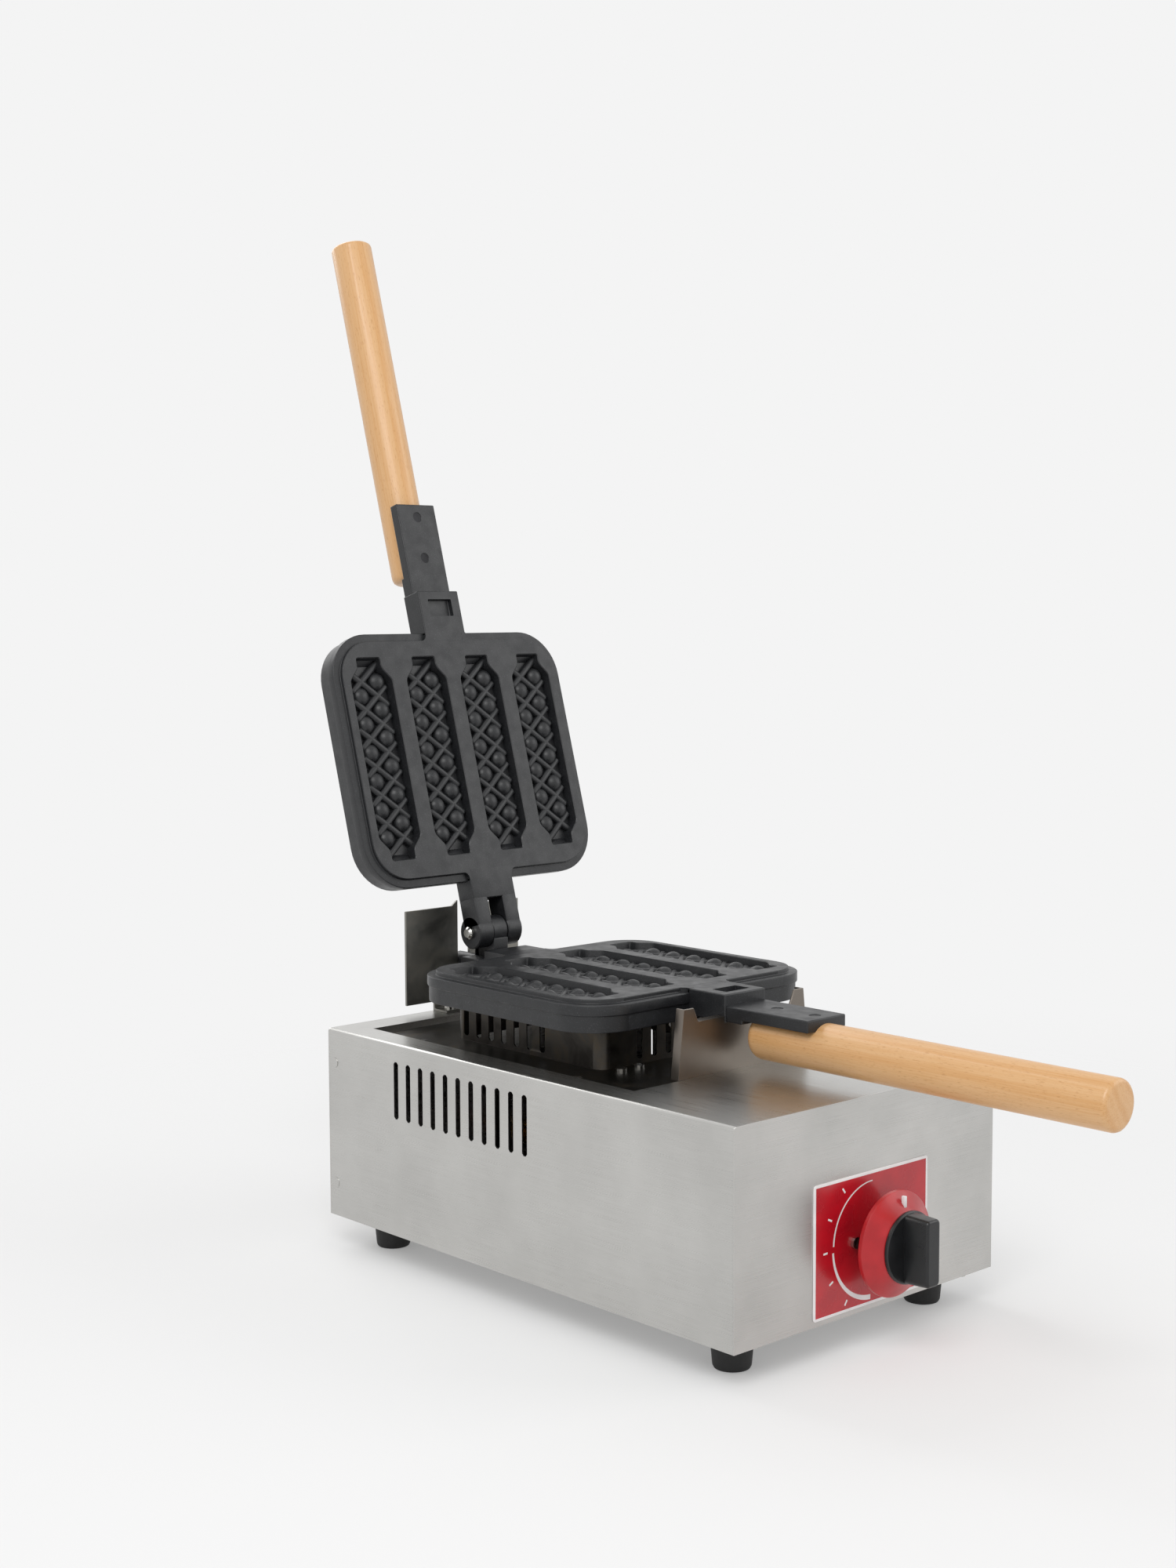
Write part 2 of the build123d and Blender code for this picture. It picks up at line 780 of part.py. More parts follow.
def dial_plate():
    """Square plate behind the knob."""
    face = RectangleRounded(dial_width, dial_height, 2.0)
    plate = Plane(origin=(0, front_y, control_z), x_dir=(1, 0, 0), z_dir=(0, -1, 0)) * face
    plate = extrude(plate, dial_sheet)
    y = (front_y - 2, front_y + 1)
    plate = plate - rod(stem_hole_radius, (0, y[0], control_z), (0, y[1], control_z))
    for side in (-1, 1):
        x = side * control_screw_offset
        plate = plate - rod(screw_radius, (x, y[0], control_z), (x, y[1], control_z))
    return plate


def knob_skirt():
    """Flared ring with a hollow back."""
    rim = front_y - knob_rim_depth
    face = front_y - knob_face_depth
    hub = stem_radius + 6.0
    outline = [
        (hub, face),
        (knob_face_radius, face),
        (knob_radius - 1.5, rim - 1.0),
        (knob_radius, rim),
        (knob_radius, rim + 3.0),
        (knob_radius - 2.0, rim + 3.0),
        (knob_face_radius - 1.0, face + 3.0),
        (hub, face + 3.0),
    ]
    wire = Plane.XY * Polyline(*outline, close=True)
    return Pos(0, 0, control_z) * revolve(make_face(wire), Axis.Y)


def knob_grip():
    """Hub, disc and upright bar moulded in one, with the bore for the stem."""
    back = front_y - knob_setback
    face = front_y - knob_face_depth
    end = front_y - grip_depth
    hub = rod(stem_radius + 6.0, (0, back, control_z), (0, face, control_z))
    disc = rod(knob_face_radius, (0, face, control_z), (0, face - 2.5, control_z))
    bar = extrude(
        Plane(origin=(0, face, control_z), x_dir=(1, 0, 0), z_dir=(0, -1, 0))
        * RectangleRounded(grip_width, grip_height, 4.0),
        face - end,
        taper=2.0,
    )
    grip = hub + disc + bar
    bore_end = front_y - grip_depth + stem_cover - clearance
    bore = rod(stem_radius, (0, back + 1, control_z), (0, bore_end, control_z))
    flat = block(
        (-stem_radius, stem_radius),
        (bore_end - 1, front_y - grip_depth + 28.0),
        (control_z + stem_flat, control_z + stem_radius + 1),
    )
    return grip - (bore - flat)


# Mould plates
def cavity():
    """The space of one cavity, measured from the mould face down."""
    half = cavity_width / 2
    notch = notch_width / 2
    end = cavity_length / 2
    shoulder = end - notch_length
    side = shoulder - shoulder_run
    upper = [(notch, end), (notch, shoulder), (half, side)]
    right = upper + [(x, -y) for x, y in reversed(upper)]
    outline = right + [(-x, y) for x, y in reversed(right)]
    mouth = make_face(Polyline(*outline, close=True))
    space = extrude(mouth, cavity_depth, dir=(0, 0, -1), taper=cavity_draft)
    floor_z = -cavity_depth
    bead = stud(bead_radius, bead_top_radius, bead_height, 6)
    side_bead = stud(side_bead_radius, side_bead_top_radius, side_bead_height, 4)
    raised = Part()
    for number in range(bead_count):
        y = (number - (bead_count - 1) / 2) * bead_pitch
        raised = raised + Pos(0, y, floor_z) * bead
    for number in range(bead_count - 1):
        y = (number - (bead_count - 2) / 2) * bead_pitch
        for flank in (-1, 1):
            x = flank * (half - side_bead_top_radius)
            raised = raised + Pos(x, y, floor_z) * side_bead
    return space - raised


def casting():
    """One mould plate with its face at z = 0, its neck to the front and no hinge arm yet."""
    body = extrude(RectangleRounded(plate_width, plate_length, plate_corner), -(plate_thickness - pad_height))
    body = Pos(0, 0, -pad_height) * body
    pad_corner = plate_corner - pad_inset
    pad = extrude(RectangleRounded(pad_width, pad_length, pad_corner), -pad_height)
    plate = body + pad
    recess = extrude(
        RectangleRounded(plate_width - 2 * back_rim, plate_length - 2 * back_rim, plate_corner - back_rim),
        back_recess,
    )
    for number in range(cavity_count - 1):
        x = (number - (cavity_count - 2) / 2) * cavity_pitch
        recess = recess - Pos(x, 0, 0) * Box(back_rib, plate_length, 3 * back_recess)
    plate = plate - Pos(0, 0, -plate_thickness) * recess
    space = cavity()
    for number in range(cavity_count):
        x = (number - (cavity_count - 1) / 2) * cavity_pitch
        plate = plate - Pos(x, 0, 0) * space
    return plate + neck()


def neck():
    """Root, stepped neck and thicker underside in front of the plate, with its two screw holes."""
    edge = -plate_length / 2
    step = edge - root_length
    tip = edge - neck_length
    top = -neck_drop
    under = top - neck_thickness
    floor = neck_floor_z - face_z
    seat = tip + handle_overlap
    root = side_profile([(edge + pad_inset, 0), (step, 0), (step, floor), (edge + pad_inset, floor)], root_width)
    blade = side_profile(
        [(step + 1, top), (tip, top), (tip, under), (seat, under), (seat + 3, floor), (step + 1, floor)],
        neck_width,
    )
    pocket_y = edge - root_length / 2 - 3.0
    pocket = Pos(0, pocket_y, 0) * Box(pocket_width, pocket_length, 2 * pocket_depth)
    bar = Pos(0, pocket_y, -pocket_depth) * Box(pocket_width * 0.6, 3.0, 2.5)
    blade = root + blade - pocket + bar
    for y in neck_screw_places(tip):
        blade = blade - Pos(0, y, top) * Cylinder(screw_radius, 4 * neck_thickness)
        blade = blade - Pos(0, y, top) * Cylinder(screw_head_radius, 2 * screw_head_height)
    return blade


def neck_screw_places(tip):
    """Distances along the neck of the two handle screws."""
    return (tip + 10.0, tip + handle_overlap - 14.0)


def lower_arm():
    """Arm behind the lower plate with the middle lug of the hinge and the tail that rests in the slot."""
    step_y = hinge_y - ear_radius - 3.0
    low_top = face_z - neck_drop
    arm_end = hinge_y + ear_radius
    base = side_profile(
        [
            (plate_rear - pad_inset, arm_floor_z),
            (arm_end, arm_floor_z),
            (arm_end, low_top),
            (step_y, low_top),
            (step_y, face_z),
            (plate_rear - pad_inset, face_z),
        ],
        arm_width,
    )
    half = lug_width / 2
    web = block((-half, half), (hinge_y - lug_radius, hinge_y + lug_radius), (low_top - 1, hinge_z))
    eye = rod(lug_radius, (-half, hinge_y, hinge_z), (half, hinge_y, hinge_z))
    bore = rod(pin_radius, (-half - 1, hinge_y, hinge_z), (half + 1, hinge_y, hinge_z))
    tail = rod(tail_radius, (0, arm_end - 1, tail_z), (0, tail_end, tail_z))
    return base + (web + eye + stop_nose(low_top) - bore) + tail


def stop_nose(foot_z):
    """Nose that rises behind the lug from foot_z and meets the bridge of the open fork."""
    near = arm_thickness + face_gap - pin_rise + clearance
    far = near + nose_thickness
    tip = fork_reach + nose_over
    top = [
        (hinge_y + run * math.sin(lean) + out * math.cos(lean), hinge_z + run * math.cos(lean) - out * math.sin(lean))
        for run, out in ((0.0, near), (tip, near), (tip, far), (0.0, far))
    ]
    foot = [(hinge_y + ear_radius, foot_z - 1), (hinge_y + near, foot_z - 1)]
    return side_profile(top + foot, lug_width)


def upper_arm():
    """Forked arm behind the upper plate, drawn closed on the lower one."""
    floor = face_z + face_gap
    top = floor + arm_thickness
    half = arm_width / 2
    root = block((-half, half), (plate_rear - pad_inset, hinge_y), (floor, top))
    ears = rod(ear_radius, (-half, hinge_y, hinge_z), (half, hinge_y, hinge_z))
    arm = root + ears
    slot_half = lug_width / 2 + clearance
    slot = block(
        (-slot_half, slot_half),
        (hinge_y - fork_reach, hinge_y + ear_radius + 1),
        (hinge_z - ear_radius - 1, hinge_z + ear_radius + 1),
    )
    bore = rod(pin_radius + running, (-half - 1, hinge_y, hinge_z), (half + 1, hinge_y, hinge_z))
    return arm - slot - bore


def lower_plate():
    """Lower mould plate in its place over the burner."""
    return Pos(0, plate_y, face_z) * casting() + lower_arm()


def opened(shape):
    """A shape drawn closed, swung back about the hinge pin to where the iron stands open."""
    return Pos(0, hinge_y, hinge_z) * Rot(-open_angle, 0, 0) * Pos(0, -hinge_y, -hinge_z) * shape


def flipped(shape):
    """A shape of the lower iron turned over onto the parting plane."""
    return mirror(shape, about=Plane.XY.offset(face_z + face_gap / 2))


def upper_plate():
    """Upper mould plate, standing open."""
    closed = flipped(Pos(0, plate_y, face_z) * casting()) + upper_arm()
    return opened(closed)


def handle():
    """Round wooden handle with a flat seat for the neck of the lower iron."""
    start = handle_start
    stick = rod(handle_radius, (0, start, handle_axis_z), (0, start - handle_length, handle_axis_z))
    ends = stick.edges().group_by(Axis.Y)
    stick = chamfer(ends[-1], handle_near_chamfer)
    stick = chamfer(stick.edges().group_by(Axis.Y)[0], handle_far_chamfer)
    seat = block(
        (-neck_width, neck_width),
        (neck_end, start + 1),
        (seat_z, handle_axis_z + handle_radius + 1),
    )
    stick = stick - seat
    for y in neck_screw_places(neck_end):
        stick = stick - rod(screw_radius, (0, y, seat_z + 1), (0, y, seat_z - handle_screw_length + neck_thickness))
    return stick


def handle_screws():
    """Two countersunk screws from the neck into the wood."""
    screws = []
    for y in neck_screw_places(neck_end):
        seat = neck_top - screw_head_height
        head = prism(screw_head_radius, 12, (0, y, seat), (0, y, neck_top - 0.4))
        shank = prism(screw_radius, 6, (0, y, seat), (0, y, neck_top - handle_screw_length))
        screws.append(head + shank)
    return Part() + screws


def hinge_pin():
    """Pin through fork and lug with a domed head at each end."""
    end = arm_width / 2 + clearance
    pin = rod(pin_radius, (-end, hinge_y, hinge_z), (end, hinge_y, hinge_z))
    for side in (-1, 1):
        head = rod(pin_head_radius, (side * end, hinge_y, hinge_z), (side * (end + pin_overhang), hinge_y, hinge_z))
        outer = head.edges().group_by(Axis.X)[-1 if side > 0 else 0]
        pin = pin + chamfer(outer, 1.5)
    return pin


def nodes():
    """Every node by its name, with the sheets drilled where their screws pass."""
    casing = casing_screws()
    rests = rest_screws()
    shields = shield_screws()
    return {
        "housing_wrap": housing_wrap() - casing - rests - shields,
        "front_panel": front_panel() - casing,
        "rear_panel": rear_panel() - casing - rests,
        "base_plate": base_plate() - casing,
        "rubber_feet": rubber_feet(),
        "foot_screws": foot_screws(),
        "casing_screws": casing,
        "front_rest": front_rest() - rests,
        "rear_rest": rear_rest() - rests,
        "rest_screws": rests,
        "heat_shield": heat_shield() - shields - rests,
        "shield_screws": shields,
        "burner_ring": burner_ring(),
        "mixer_tube": mixer_tube(),
        "injector": injector(),
        "burner_stand": burner_stand(),
        "valve_body": valve_body(),
        "stem_collar": stem_collar(),
        "valve_stem": valve_stem(),
        "control_screws": control_screws(),
        "igniter_unit": igniter_unit(),
        "igniter_electrode": igniter_electrode(),
        "ignition_lead": ignition_lead(),
        "supply_pipe": supply_pipe(),
        "inlet_pipe": inlet_pipe(),
        "gas_inlet": gas_inlet(),
        "dial_plate": dial_plate(),
        "knob_skirt": knob_skirt(),
        "knob_grip": knob_grip(),
        "lower_plate": lower_plate(),
        "lower_handle": handle(),
        "lower_handle_screws": handle_screws(),
        "hinge_pin": hinge_pin(),
        "upper_plate": upper_plate(),
        "upper_handle": opened(flipped(handle())),
        "upper_handle_screws": opened(flipped(handle_screws())),
    }


os.makedirs("parts", exist_ok=True)
for name, shape in nodes().items():
    export_step(shape, f"parts/{name}.step")
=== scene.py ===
"""Looks of a gas stick waffle maker: a stainless burner box that carries a hinged pair of mould irons.

Each sub-assembly is a class that holds its sizes in millimetres and builds its own pieces. Every piece is
made in the frame of the CAD model and rides on one of its bodies.
"""

import logging
import math
from dataclasses import dataclass, field
from enum import Enum
from typing import Any, Callable, Iterable, Optional

import bmesh
import bpy
from mathutils import Matrix, Vector


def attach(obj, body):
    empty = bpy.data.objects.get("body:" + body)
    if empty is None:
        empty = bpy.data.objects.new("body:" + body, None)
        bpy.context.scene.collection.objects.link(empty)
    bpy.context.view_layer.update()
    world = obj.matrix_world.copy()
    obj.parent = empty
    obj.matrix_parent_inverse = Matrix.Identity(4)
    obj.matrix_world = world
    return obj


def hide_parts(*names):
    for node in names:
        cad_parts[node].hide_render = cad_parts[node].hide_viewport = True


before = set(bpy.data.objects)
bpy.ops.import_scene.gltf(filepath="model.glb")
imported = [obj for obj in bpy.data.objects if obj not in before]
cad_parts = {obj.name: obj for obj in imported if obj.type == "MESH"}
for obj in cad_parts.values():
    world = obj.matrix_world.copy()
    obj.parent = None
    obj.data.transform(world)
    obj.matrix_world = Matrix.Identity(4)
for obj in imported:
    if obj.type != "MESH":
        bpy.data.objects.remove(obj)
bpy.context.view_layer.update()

log = logging.getLogger("waffle_maker")

MM = 0.001
Mesh = bmesh.types.BMesh
Tree = bpy.types.NodeTree
Socket = bpy.types.NodeSocket


class Way(Enum):
    """The direction in which a sheet was brushed."""

    ACROSS = "x"
    ALONG = "y"
    UPRIGHT = "z"


class Cut(Enum):
    """How one solid changes another."""

    TAKE_AWAY = "DIFFERENCE"
    ADD = "UNION"


def linear(code: str) -> tuple[float, float, float, float]:
    """Turns an sRGB hex colour to linear light.

    Args:
        code: Six hex digits, such as "c8a070".

    Returns:
        Red, green, blue and an alpha of 1.
    """
    parts = [int(code[k : k + 2], 16) / 255 for k in (0, 2, 4)]
    light = [c / 12.92 if c <= 0.04045 else ((c + 0.055) / 1.055) ** 2.4 for c in parts]
    return (light[0], light[1], light[2], 1.0)


def add_node(
    tree: Tree,
    kind: str,
    settings: Optional[dict[str, Any]] = None,
    inputs: Optional[dict[Any, Any]] = None,
) -> bpy.types.Node:
    """Adds a node with its settings and links.

    Args:
        tree: The node tree.
        kind: The node's type name.
        settings: Attribute values. The key "stops" holds a colour ramp's (place, colour) pairs.
        inputs: Socket name or number, with a value or the output socket that feeds it.

    Returns:
        The new node.
    """
    node = tree.nodes.new(kind)
    for key, value in (settings or {}).items():
        if key == "stops":
            ramp = node.color_ramp
            while len(ramp.elements) < len(value):
                ramp.elements.new(0.5)
            for element, (place, colour) in zip(ramp.elements, value):
                element.position = place
                element.color = colour
        else:
            setattr(node, key, value)
    for key, value in (inputs or {}).items():
        if isinstance(value, Socket):
            tree.links.new(value, node.inputs[key])
        else:
            node.inputs[key].default_value = value
    return node


def start_material(name: str) -> tuple[bpy.types.Material, Tree, bpy.types.Node]:
    """Makes an empty material with a principled shader.

    Args:
        name: The real material's name.

    Returns:
        The material, its node tree and the shader node.
    """
    material = bpy.data.materials.new(name)
    material.use_nodes = True
    tree = material.node_tree
    tree.nodes.clear()
    shader = add_node(tree, "ShaderNodeBsdfPrincipled")
    add_node(tree, "ShaderNodeOutputMaterial", inputs={"Surface": shader.outputs["BSDF"]})
    return material, tree, shader


def pattern_space(
    tree: Tree,
    sizes: tuple[float, ...],
    tilt: float = 0.0,
    centre: tuple[float, ...] = (0, 0, 0),
) -> Socket:
    """Gives object coordinates, moved, turned about X and scaled.

    Args:
        tree: The node tree.
        sizes: The pattern's size along X, Y and Z, in millimetres.
        tilt: Degrees that the piece was turned about X after it was made.
        centre: The point about which it was turned, in metres.

    Returns:
        The vector socket.
    """
    spot = add_node(tree, "ShaderNodeTexCoord").outputs["Object"]
    settings = {"vector_type": "POINT"}
    if tilt or any(centre):
        back = Matrix.Rotation(math.radians(-tilt), 3, "X")
        moved = {"Location": tuple(back @ -Vector(centre)), "Rotation": (math.radians(-tilt), 0, 0)}
        spot = add_node(tree, "ShaderNodeMapping", settings, {"Vector": spot, **moved}).outputs["Vector"]
    scale = tuple(1 / (size * MM) for size in sizes)
    sized = add_node(tree, "ShaderNodeMapping", settings, {"Vector": spot, "Scale": scale})
    return sized.outputs["Vector"]


def mixed(
    tree: Tree, kind: str, factor: Any, first: Any, second: Any, blend: str = "MIX"
) -> Socket:
    """Mixes two colours or two numbers.

    Args:
        tree: The node tree.
        kind: "RGBA" or "FLOAT".
        factor: How much of the second, as a number or a socket.
        first: The first colour or number.
        second: The second colour or number.
        blend: The blend type of colours.

    Returns:
        The mixed socket.
    """
    spots = (6, 7, 2) if kind == "RGBA" else (2, 3, 0)
    settings: dict[str, Any] = {"data_type": kind}
    if kind == "RGBA":
        settings["blend_type"] = blend
    node = add_node(tree, "ShaderNodeMix", settings, {0: factor, spots[0]: first, spots[1]: second})
    return node.outputs[spots[2]]


def dress(
    tree: Tree,
    shader: bpy.types.Node,
    colour: Socket,
    gloss: Socket,
    rough: tuple[float, float],
    height: Socket,
    depth: tuple[float, float],
) -> None:
    """Gives the shader its colour, a roughness that follows one pattern and a skin that follows another.

    Args:
        tree: The node tree.
        shader: The principled shader.
        colour: The colour.
        gloss: The pattern that varies the roughness.
        rough: The roughness where that pattern is low and where it is high.
        height: The pattern that raises the skin.
        depth: The skin's strength, and its height in millimetres.
    """
    spread = {"Value": gloss, "From Min": 0.3, "From Max": 0.7, "To Min": rough[0], "To Max": rough[1]}
    uneven = add_node(tree, "ShaderNodeMapRange", inputs=spread)
    raised = {"Strength": depth[0], "Distance": depth[1] * MM, "Height": height}
    skin = add_node(tree, "ShaderNodeBump", inputs=raised)
    tree.links.new(colour, shader.inputs["Base Color"])
    tree.links.new(uneven.outputs["Result"], shader.inputs["Roughness"])
    tree.links.new(skin.outputs["Normal"], shader.inputs["Normal"])


@dataclass(frozen=True)
class BrushedStainless:
    """Cold-rolled stainless sheet with a satin belt finish: fine straight scratches and faint clouds.

    The real scratches are a few hundredths of a millimetre wide. They are drawn coarser, so that a picture
    of the whole object still shows them.
    """

    name: str = "brushed_stainless"
    way: Way = Way.ALONG
    colour: str = "c6c5c2"
    shade: str = "bab9b6"
    roughness: float = 0.30
    rough_below: float = 0.05
    rough_above: float = 0.07
    streak: float = 0.12
    scratch_depth: float = 0.04
    scratch_height_mm: float = 0.2
    scratch_mm: float = 0.5
    scratch_length_mm: float = 60.0
    cloud_mm: float = 70.0

    def build(self) -> bpy.types.Material:
        """Makes the material.

        Returns:
            The material.
        """
        material, tree, shader = start_material(self.name)
        sizes = tuple(self.scratch_length_mm if axis == self.way.value else self.scratch_mm for axis in "xyz")
        fine = {"Vector": pattern_space(tree, sizes), "Scale": 1.0, "Detail": 3.0, "Roughness": 0.6}
        scratch = add_node(tree, "ShaderNodeTexNoise", inputs=fine).outputs["Fac"]
        space = pattern_space(tree, (self.cloud_mm,) * 3)
        broad = {"Vector": space, "Scale": 1.0, "Detail": 4.0, "Roughness": 0.55}
        cloud = add_node(tree, "ShaderNodeTexNoise", inputs=broad).outputs["Fac"]
        spread = {"Value": cloud, "From Min": 0.3, "From Max": 0.7}
        clouds = add_node(tree, "ShaderNodeMapRange", inputs=spread).outputs["Result"]
        tone = mixed(tree, "RGBA", clouds, linear(self.shade), linear(self.colour))
        tone = mixed(tree, "RGBA", self.streak, tone, scratch, "OVERLAY")
        rough = (self.roughness - self.rough_below, self.roughness + self.rough_above)
        dress(tree, shader, tone, scratch, rough, scratch, (self.scratch_depth, self.scratch_height_mm))
        shader.inputs["Metallic"].default_value = 1.0
        return material


@dataclass(frozen=True)
class HeatedSteel:
    """Plain steel sheet that the burner has browned: dull, uneven, with straw and blue-grey patches.

    The rolling grain is drawn coarser than it is, so that it shows.
    """

    name: str = "heat_darkened_steel"
    colour: str = "4d4a46"
    tint: str = "3a3734"
    straw: str = "5b5245"
    roughness: tuple[float, float] = (0.34, 0.5)
    patch_mm: float = 26.0
    grain_mm: float = 0.7
    grain_length_mm: float = 25.0
    grain_depth: float = 0.08
    grain_height_mm: float = 0.3

    def build(self) -> bpy.types.Material:
        """Makes the material.

        Returns:
            The material.
        """
        material, tree, shader = start_material(self.name)
        space = pattern_space(tree, (self.patch_mm,) * 3)
        broad = {"Vector": space, "Scale": 1.0, "Detail": 5.0, "Roughness": 0.6, "Distortion": 0.8}
        patch = add_node(tree, "ShaderNodeTexNoise", inputs=broad).outputs["Fac"]
        stops = [(0.32, linear(self.tint)), (0.52, linear(self.colour)), (0.72, linear(self.straw))]
        tone = add_node(tree, "ShaderNodeValToRGB", {"stops": stops}, {"Fac": patch}).outputs["Color"]
        space = pattern_space(tree, (self.grain_length_mm, self.grain_mm, self.grain_mm))
        fine = {"Vector": space, "Scale": 1.0, "Detail": 3.0}
        grain = add_node(tree, "ShaderNodeTexNoise", inputs=fine).outputs["Fac"]
        dress(tree, shader, tone, patch, self.roughness, grain, (self.grain_depth, self.grain_height_mm))
        shader.inputs["Metallic"].default_value = 1.0
        return material


@dataclass(frozen=True)
class NonStickCoating:
    """Sprayed and baked non-stick coating on cast aluminium: charcoal black, fine pebbled skin, soft sheen.

    The pebbles are drawn several times coarser than the real spray, so that they break up the highlights.
    """

    name: str = "nonstick_coating"
    colour: str = "1c1d1f"
    fleck: str = "36373b"
    pebble_mm: float = 0.9
    cast_mm: float = 9.0
    skin_depth: float = 0.22
    skin_height_mm: float = 0.4
    roughness: float = 0.40
    rough_below: float = 0.06
    rough_above: float = 0.08

    def build(self) -> bpy.types.Material:
        """Makes the material.

        Returns:
            The material.
        """
        material, tree, shader = start_material(self.name)
        fine = {"Vector": pattern_space(tree, (self.pebble_mm,) * 3), "Scale": 1.0, "Detail": 2.0}
        pebble = add_node(tree, "ShaderNodeTexNoise", inputs=fine).outputs["Fac"]
        broad = {"Vector": pattern_space(tree, (self.cast_mm,) * 3), "Scale": 1.0, "Detail": 4.0}
        cast = add_node(tree, "ShaderNodeTexNoise", inputs=broad).outputs["Fac"]
        spread = {"Value": pebble, "From Min": 0.58, "From Max": 0.74}
        fleck = add_node(tree, "ShaderNodeMapRange", inputs=spread).outputs["Result"]
        tone = mixed(tree, "RGBA", fleck, linear(self.colour), linear(self.fleck))
        height = mixed(tree, "FLOAT", 0.5, pebble, cast)
        rough = (self.roughness - self.rough_below, self.roughness + self.rough_above)
        dress(tree, shader, tone, cast, rough, height, (self.skin_depth, self.skin_height_mm))
        shader.inputs["IOR"].default_value = 1.5
        return material


@dataclass(frozen=True)
class VarnishedBeech:
    """Turned beech under clear varnish: pale tan, long soft grain lines and short darker ray flecks.

    The grain lines and flecks are drawn a little coarser than in real beech, so that they show.
    """

    name: str = "varnished_beech"
    pale: str = "e2b480"
    middle: str = "d69f62"
    dark: str = "b97f42"
    ring_mm: float = 34.375
    ring_length_mm: float = 458.3333
    grain_share: float = 0.72
    grain_mm: float = 0.8
    grain_length_mm: float = 55.0
    grain_depth: float = 0.1
    grain_height_mm: float = 0.2
    fleck_mm: float = 0.7
    fleck_length_mm: float = 4.0
    fleck_share: float = 0.45
    roughness: float = 0.36
    varnish: float = 0.25
    varnish_roughness: float = 0.22
    tilt: float = 0.0
    centre: tuple[float, float, float] = (0.0, 0.0, 0.0)

    def build(self) -> bpy.types.Material:
        """Makes the material.

        Returns:
            The material.
        """
        material, tree, shader = start_material(self.name)
        ring_space, grain_space, fleck_space = (
            pattern_space(tree, (wide, long, wide), self.tilt, self.centre)
            for wide, long in (
                (self.ring_mm, self.ring_length_mm),
                (self.grain_mm, self.grain_length_mm),
                (self.fleck_mm, self.fleck_length_mm),
            )
        )
        way = {"wave_type": "RINGS", "rings_direction": "Y", "wave_profile": "SIN"}
        waves = {"Vector": ring_space, "Scale": 1.0, "Distortion": 3.0, "Detail": 3.0, "Detail Scale": 1.2}
        rings = add_node(tree, "ShaderNodeTexWave", way, waves).outputs["Fac"]
        lines = {"Vector": grain_space, "Scale": 1.0, "Detail": 4.0, "Roughness": 0.65}
        grain = add_node(tree, "ShaderNodeTexNoise", inputs=lines).outputs["Fac"]
        dots = {"Vector": fleck_space, "Scale": 1.0, "Detail": 1.0}
        fleck = add_node(tree, "ShaderNodeTexNoise", inputs=dots).outputs["Fac"]
        both = mixed(tree, "FLOAT", self.grain_share, rings, grain)
        stops = [(0.25, linear(self.middle)), (0.55, linear(self.pale)), (0.85, linear(self.middle))]
        tone = add_node(tree, "ShaderNodeValToRGB", {"stops": stops}, {"Fac": both}).outputs["Color"]
        spread = {"Value": fleck, "From Min": 0.6, "From Max": 0.75, "To Max": self.fleck_share}
        dashes = add_node(tree, "ShaderNodeMapRange", inputs=spread).outputs["Result"]
        colour = mixed(tree, "RGBA", dashes, tone, linear(self.dark))
        tree.links.new(colour, shader.inputs["Base Color"])
        shader.inputs["Roughness"].default_value = self.roughness
        shader.inputs["Coat Weight"].default_value = self.varnish
        shader.inputs["Coat Roughness"].default_value = self.varnish_roughness
        raised = {"Strength": self.grain_depth, "Distance": self.grain_height_mm * MM, "Height": grain}
        skin = add_node(tree, "ShaderNodeBump", inputs=raised)
        tree.links.new(skin.outputs["Normal"], shader.inputs["Normal"])
        return material


@dataclass(frozen=True)
class Moulded:
    """A moulded, cast, printed or plated surface of one colour, with a fine skin and a little uneven gloss.

    The skin is drawn coarser than the real one, so that it shows.
    """

    name: str
    colour: str
    second: str
    roughness: float
    skin_mm: float = 0.8
    skin_depth: float = 0.08
    skin_height_mm: float = 0.2
    cloud_ratio: float = 18.0
    metallic: float = 0.0
    coat: float = 0.0
    coat_roughness: float = 0.12

    def build(self) -> bpy.types.Material:
        """Makes the material.

        Returns:
            The material.
        """
        material, tree, shader = start_material(self.name)
        patterns = []
        for size in (self.skin_mm, self.cloud_ratio * self.skin_mm):
            inputs = {"Vector": pattern_space(tree, (size,) * 3), "Scale": 1.0, "Detail": 3.0}
            patterns.append(add_node(tree, "ShaderNodeTexNoise", inputs=inputs).outputs["Fac"])
        skin, cloud = patterns
        spread = {"Value": cloud, "From Min": 0.35, "From Max": 0.65}
        clouds = add_node(tree, "ShaderNodeMapRange", inputs=spread).outputs["Result"]
        tone = mixed(tree, "RGBA", clouds, linear(self.colour), linear(self.second))
        rough = (self.roughness * 0.88, min(1.0, self.roughness * 1.14))
        dress(tree, shader, tone, cloud, rough, skin, (self.skin_depth, self.skin_height_mm))
        shader.inputs["Metallic"].default_value = self.metallic
        shader.inputs["Coat Weight"].default_value = self.coat
        shader.inputs["Coat Roughness"].default_value = self.coat_roughness
        return material


